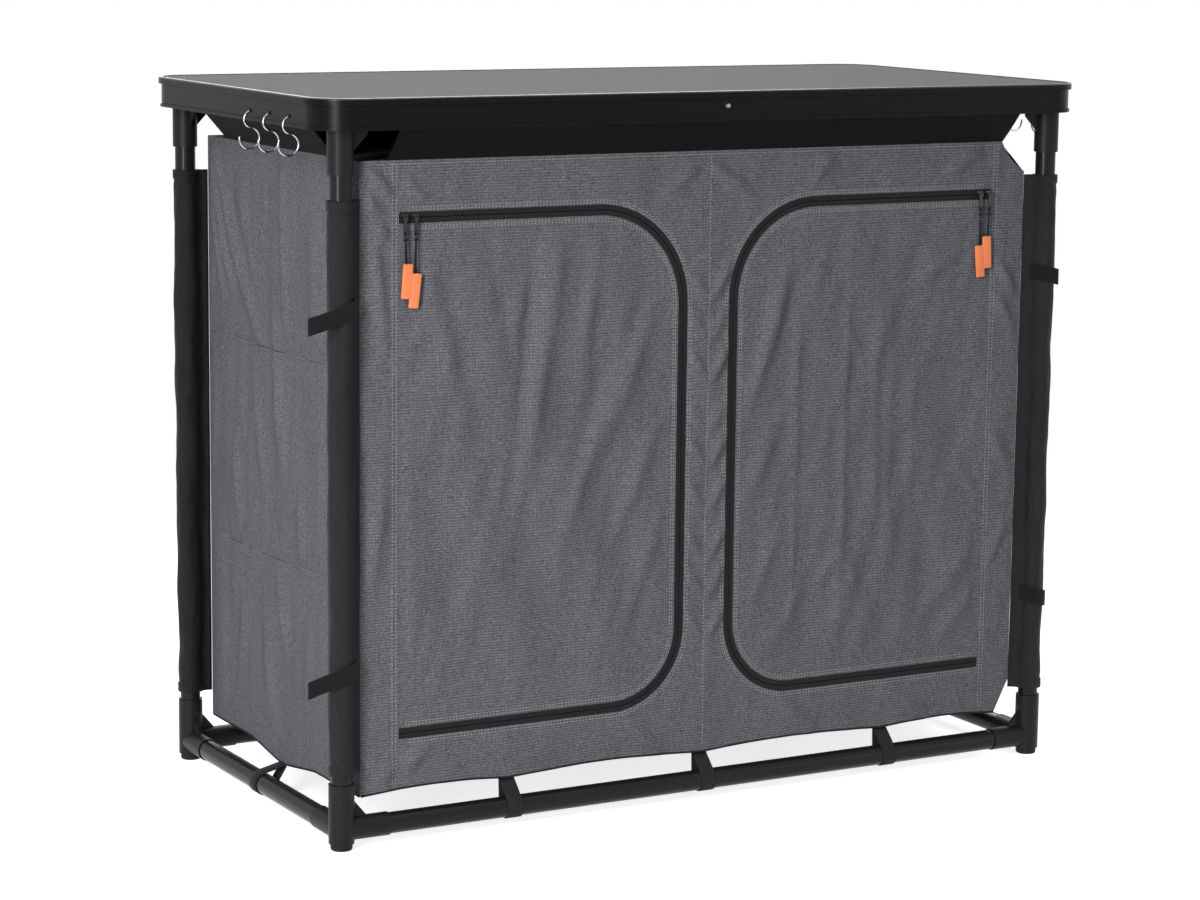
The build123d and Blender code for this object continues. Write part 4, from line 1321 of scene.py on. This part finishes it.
def make_flaps():
    for name, sy in (("front", -1), ("rear", 1)):

        def turn(u, out, up, sy=sy):
            return Vector((u * -sy, sy * out, up))

        shape = (side_x - front_flap_end, front_y, front_knee_y, front_knee_rise, front_flap_tuck)
        flap(f"flap_{name}", *shape, flap_swell_front, 31.0 + sy, turn, flap_front, "front_cloth")
    board_gap = node_box("worktop_board")[0].z - flap_board_gap - (top_z + side_knee_rise)
    for name, sx in sides.items():

        def turn(u, out, up, sx=sx):
            return Vector((sx * out, u * sx, up))

        shape = (front_y - side_flap_end, side_x, side_x + side_knee_reach, side_knee_rise, board_gap)
        flap(f"flap_{name}", *shape, flap_swell_side, 41.0 + sx, turn, flap_side, f"side_cloth_{name}")


# Top, bottom, shelves and divider of the cabinet
def make_levels():
    front = -front_y + cloth
    rows = (
        ("bottom", hem_z + cloth, 1.0, slack_bottom[0], slack_bottom_depth, level_black, "black_cloth"),
        ("top", top_z, 0.0, slack_top[0], slack_top_depth, level_weave, "grey_cloth"),
    )
    for name, height, hem_share, slack_x, slack_y, material, slot in rows:
        outline = [
            (-level_x, front),
            (level_x - slack_x, front),
            (level_x, front + slack_y),
            (level_x, level_rear_y),
            (-level_x, level_rear_y),
        ]
        cut = cut_sheet(closed_loop(outline, level_pitch), pitch=level_pitch)

        def place(x, y, height=height, hem_share=hem_share):
            to_wall = min(level_rear_y - y, y + front_y)
            edge = ease(min(level_x - abs(x), to_wall) / level_reach)
            sag = edge * level_sag * (1 + noise.noise(Vector((x * 7, y * 7, height))))
            lift = hem_share * hem_lift(x) * ease(1 - to_wall / hem_lift_reach)
            return Vector((x, y, height - sag + lift))

        panel = f"{name}_cloth"
        node = f"{name}_panel"
        cloth_sheet(panel, cut, place, material, node, "front_cloth", slot=slot)


def make_shelves():
    inner_x = cloth / 2
    for level, low, high in (
        ("lower", lower_shelf_low, lower_shelf_high),
        ("upper", upper_shelf_low, upper_shelf_high),
    ):
        outline = [(inner_x, low.y), (high.x, low.y), (high.x, high.y), (inner_x, high.y)]
        cut = cut_sheet(closed_loop(outline, level_pitch), pitch=level_pitch)
        for name, side in sides.items():

            def place(x, y, side=side, high=high):
                gap = min(x - inner_x, high.x - x, high.y - y, y - low.y + shelf_front_spare)
                play = shelf_dent_play * noise.noise(Vector((x * 9, y * 9, side + high.z)))
                return Vector((side * x, y, high.z - ease(gap / shelf_reach) * (shelf_dent + play)))

            made = cloth_sheet(
                f"shelf_{level}_{name}",
                cut,
                place,
                level_weave,
                f"{level}_shelves",
                f"side_cloth_{name}",
                thickness=high.z - low.z,
                offset=-side,
            )
            soften = made.modifiers.new("rounded", "BEVEL")
            soften.width = shelf_edge_radius
            soften.segments = 3
            soften.limit_method = "ANGLE"


def make_divider():
    front = -front_y + cloth
    low, high = hem_z + 1.5 * cloth, top_z - 1.5 * cloth
    outline = closed_loop([(front, low), (level_rear_y, low), (level_rear_y, high), (front, high)])
    cut = cut_sheet(outline, pitch=level_pitch)

    def place(y, z):
        edge = ease((front_y - abs(y)) / divider_reach)
        swell = divider_swell * streaks(y, z, pitch=60 * mm, lean=0.05, seed=51.0)
        return Vector((cloth / 2 + edge * bay_share(z, low, high) * swell, y, z))

    cloth_sheet("divider_cloth", cut, place, side_weave, "centre_divider", "top_cloth")


# Tags: an orange tab on a cord loop through the puller's eye
def rounded_ring(width, depth, z):
    ring = []
    for k, (sx, sy) in enumerate(((1, 1), (-1, 1), (-1, -1), (1, -1))):
        for j in range(4):
            angle = radians(90 * k + 30 * j)
            x = sx * (width / 2 - tag_corner) + tag_corner * cos(angle)
            y = sy * (depth / 2 - tag_corner) + tag_corner * sin(angle)
            ring.append(Vector((x, y, z)))
    return ring


# Rows of a tab from either end: the distance and how far it is pinched in there, in millimetres
tab_end_rows = ((0.0, 1.2), (0.5, 0.35), (1.4, 0.0), (4.2, 0.0), (4.7, 0.35), (5.2, 0.0))


def tab_rings(foot, tilt):
    rows = [(z * mm, pinch * mm) for z, pinch in tab_end_rows]
    rows += [(tag_length - z, pinch) for z, pinch in reversed(rows)]
    rings = []
    for z, pinch in rows:
        ring = rounded_ring(tag_width - 2 * pinch, tag_thickness - pinch, foot + z)
        rings.append([tilt @ p for p in ring])
    return rings


def pull_loop(name, strand, end, lean, body):
    """A smooth cord from the tab round the eye and back, its strands drawn together at the knot."""
    half = (
        (0.0, -strand, 0.0),
        (0.35 * mm, -strand, -3.0 * mm),
        (0.9 * mm, -0.9 * mm, -6.0 * mm),
        (1.3 * mm, -0.9 * mm, end),
    )
    spots = [(-a, b, c) for a, b, c in reversed(half)]
    spots.append((0.0, 0.0, strand * 0.55))
    spots.extend((a, -b, c) for a, b, c in half)
    curve = bpy.data.curves.new(name, "CURVE")
    curve.dimensions = "3D"
    spline = curve.splines.new("NURBS")
    spline.points.add(len(spots) - 1)
    for point, spot in zip(spline.points, spots):
        point.co = (*(lean @ Vector(spot)), 1.0)
    spline.use_endpoint_u = True
    spline.order_u = 3
    curve.bevel_depth = cord_radius
    curve.materials.append(cord_finish)
    made = bpy.data.objects.new(name, curve)
    bpy.context.scene.collection.objects.link(made)
    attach(made, body)


def make_tags():
    for name, (cord_lean, tab_lean) in tag_leans.items():
        node, body = f"tag_{name}", f"pull_{name}"
        low, high = node_box(node)
        eye = Vector(((low.x + high.x) / 2, (low.y + high.y) / 2, high.z - cord_radius))
        lean = Matrix.Translation(eye) @ Matrix.Rotation(radians(-cord_lean), 4, "Y")
        foot = low.z - eye.z
        centre = Matrix.Translation((0.0, 0.0, foot + tag_length / 2))
        turn = Matrix.Rotation(radians(cord_lean - tab_lean), 4, "Y")
        tilt = lean @ centre @ turn @ centre.inverted()
        loft(f"tab_{name}", tab_rings(foot, tilt), finishes["orange_tag"], body, [node], "orange_tag")
        strand = high.y - cord_radius - eye.y
        pull_loop(f"pull_loop_{name}", strand, foot + tag_length - 0.5 * mm, lean, body)
        knot = []
        for k in range(knot_steps):
            angle = 2 * pi * k / knot_steps
            wide, deep, tall = knot_size
            spot = (wide * cos(angle), deep * sin(angle), tall * sin(2 * angle) - knot_drop)
            knot.append(lean @ Vector(spot))
        tube(f"pull_knot_{name}", knot, knot_radius, cord_finish, body)


# Piping along the hems
def make_piping():
    inset = 2 * mm
    front_end = side_x - slack_bottom[0]
    lines = {
        "front": [on_front(x, z, -cloth / 2) for x, z in hem_line(-side_x + inset, front_end)],
        "back": [on_back(x, z, -cloth / 2) for x, z in hem_line(-side_x + inset, side_x - inset)],
    }
    for name, sx in sides.items():
        low = sorted(p for p in side_outline(sx) if p[1] <= hem_z + 1e-6)
        lines[name] = [on_side(sx, y, z, -cloth / 2) for y, z in low]
    for name, line in lines.items():
        finish = side_black if name in sides else finishes["black_cloth"]
        tube(f"hem_piping_{name}", line, piping_radius, finish, "frame", False, "black_cloth")


make_front()
make_zips()
make_front_stitches()
make_sides()
make_back()
make_wall_seams()
make_sleeves()
make_loops()
make_ties()
make_flaps()
make_levels()
make_shelves()
make_divider()
make_tags()
make_piping()


# Camera, lights and floor
def make_camera():
    data = bpy.data.cameras.new("camera")
    data.lens = focal_length
    data.sensor_width = sensor_width
    made = bpy.data.objects.new("camera", data)
    turn = (
        Matrix.Rotation(-camera_yaw, 4, "Z")
        @ Matrix.Rotation(pi / 2 - camera_pitch, 4, "X")
        @ Matrix.Rotation(camera_roll, 4, "Z")
    )
    made.matrix_world = Matrix.Translation(camera_place) @ turn
    bpy.context.scene.collection.objects.link(made)
    bpy.context.scene.camera = made


def area_light(name, place, target, width, height, power):
    data = bpy.data.lights.new(name, "AREA")
    data.shape = "RECTANGLE"
    data.size = width
    data.size_y = height
    data.energy = power
    made = bpy.data.objects.new(name, data)
    aim = Vector(target) - Vector(place)
    made.matrix_world = Matrix.Translation(place) @ aim.to_track_quat("-Z", "Y").to_matrix().to_4x4()
    bpy.context.scene.collection.objects.link(made)


def background_rays(tree):
    """One for the rays that show the white background: seen, mirrored or let through."""
    path = tree.nodes.new("ShaderNodeLightPath")
    seen = path.outputs["Is Camera Ray"]
    for ray in ("Is Glossy Ray", "Is Transmission Ray"):
        either = tree.nodes.new("ShaderNodeMath")
        either.operation = "MAXIMUM"
        tree.links.new(seen, either.inputs[0])
        tree.links.new(path.outputs[ray], either.inputs[1])
        seen = either.outputs[0]
    return seen


def make_world():
    """White behind the object, and a softer even light everywhere else."""
    world = bpy.data.worlds.new("studio")
    bpy.context.scene.world = world
    world.use_nodes = True
    tree = world.node_tree
    sky = tree.nodes["Background"]
    sky.inputs["Color"].default_value = (1.0, 1.0, 1.0, 1.0)
    level = tree.nodes.new("ShaderNodeMapRange")
    level.inputs["To Min"].default_value = sky_light
    level.inputs["To Max"].default_value = 1.0
    tree.links.new(background_rays(tree), level.inputs["Value"])
    tree.links.new(level.outputs["Result"], sky.inputs["Strength"])


def make_floor():
    """A white disc that keeps a pale shadow and fades into the white behind it."""
    points = [(0.0, 0.0, 0.0)]
    faces = []
    for k in range(floor_sides):
        angle = 2 * pi * k / floor_sides
        points.append((floor_reach * cos(angle), floor_reach * sin(angle), 0.0))
        faces.append((0, k + 1, (k + 1) % floor_sides + 1))
    mesh = bpy.data.meshes.new("floor")
    mesh.from_pydata(points, [], faces)
    surface = Surface("floor_paint", (0.9, 0.9, 0.9), 0.9)
    surface.tone(surface.span(surface.noise(scale=3.0), low=0.985, high=1.0))
    away = surface.add("ShaderNodeVectorMath", operation="LENGTH")
    surface.feed(away.inputs[0], surface.place)
    fade = surface.add("ShaderNodeMapRange", interpolation_type="SMOOTHSTEP")
    fade.inputs["From Min"].default_value = floor_fade[0]
    fade.inputs["From Max"].default_value = floor_fade[1]
    fade.inputs["To Min"].default_value = 1.0
    fade.inputs["To Max"].default_value = 0.0
    surface.feed(fade.inputs["Value"], away.outputs["Value"])
    surface.feed(surface.shader.inputs["Alpha"], fade.outputs["Result"])
    glow = surface.math("MULTIPLY", background_rays(surface.tree), floor_glow)
    surface.feed(surface.shader.inputs["Emission Color"], (1.0, 1.0, 1.0, 1.0))
    surface.feed(surface.shader.inputs["Emission Strength"], glow)
    mesh.materials.append(surface.material)
    made = bpy.data.objects.new("floor", mesh)
    bpy.context.scene.collection.objects.link(made)


# Lamps: place, what it is turned to, width, height and watts
lamps = {
    "key": ((-2.75, -2.1, 1.45), (-0.3, 0.0, 0.6), 0.7, 2.4, 112.0),
    "fill": ((2.8, -3.2, 1.4), (0.0, 0.0, 0.5), 0.8, 2.4, 9.0),
    "overhead": ((0.0, -0.3, 3.6), (0.0, 0.0, 0.8), 2.6, 2.6, 33.0),
    "back": ((1.5, 3.2, 2.4), (0.0, 0.0, 0.6), 2.0, 2.0, 55.0),
}

make_camera()
make_world()
make_floor()
for name, settings in lamps.items():
    area_light(name, *settings)

bpy.context.scene.view_settings.view_transform = "Standard"
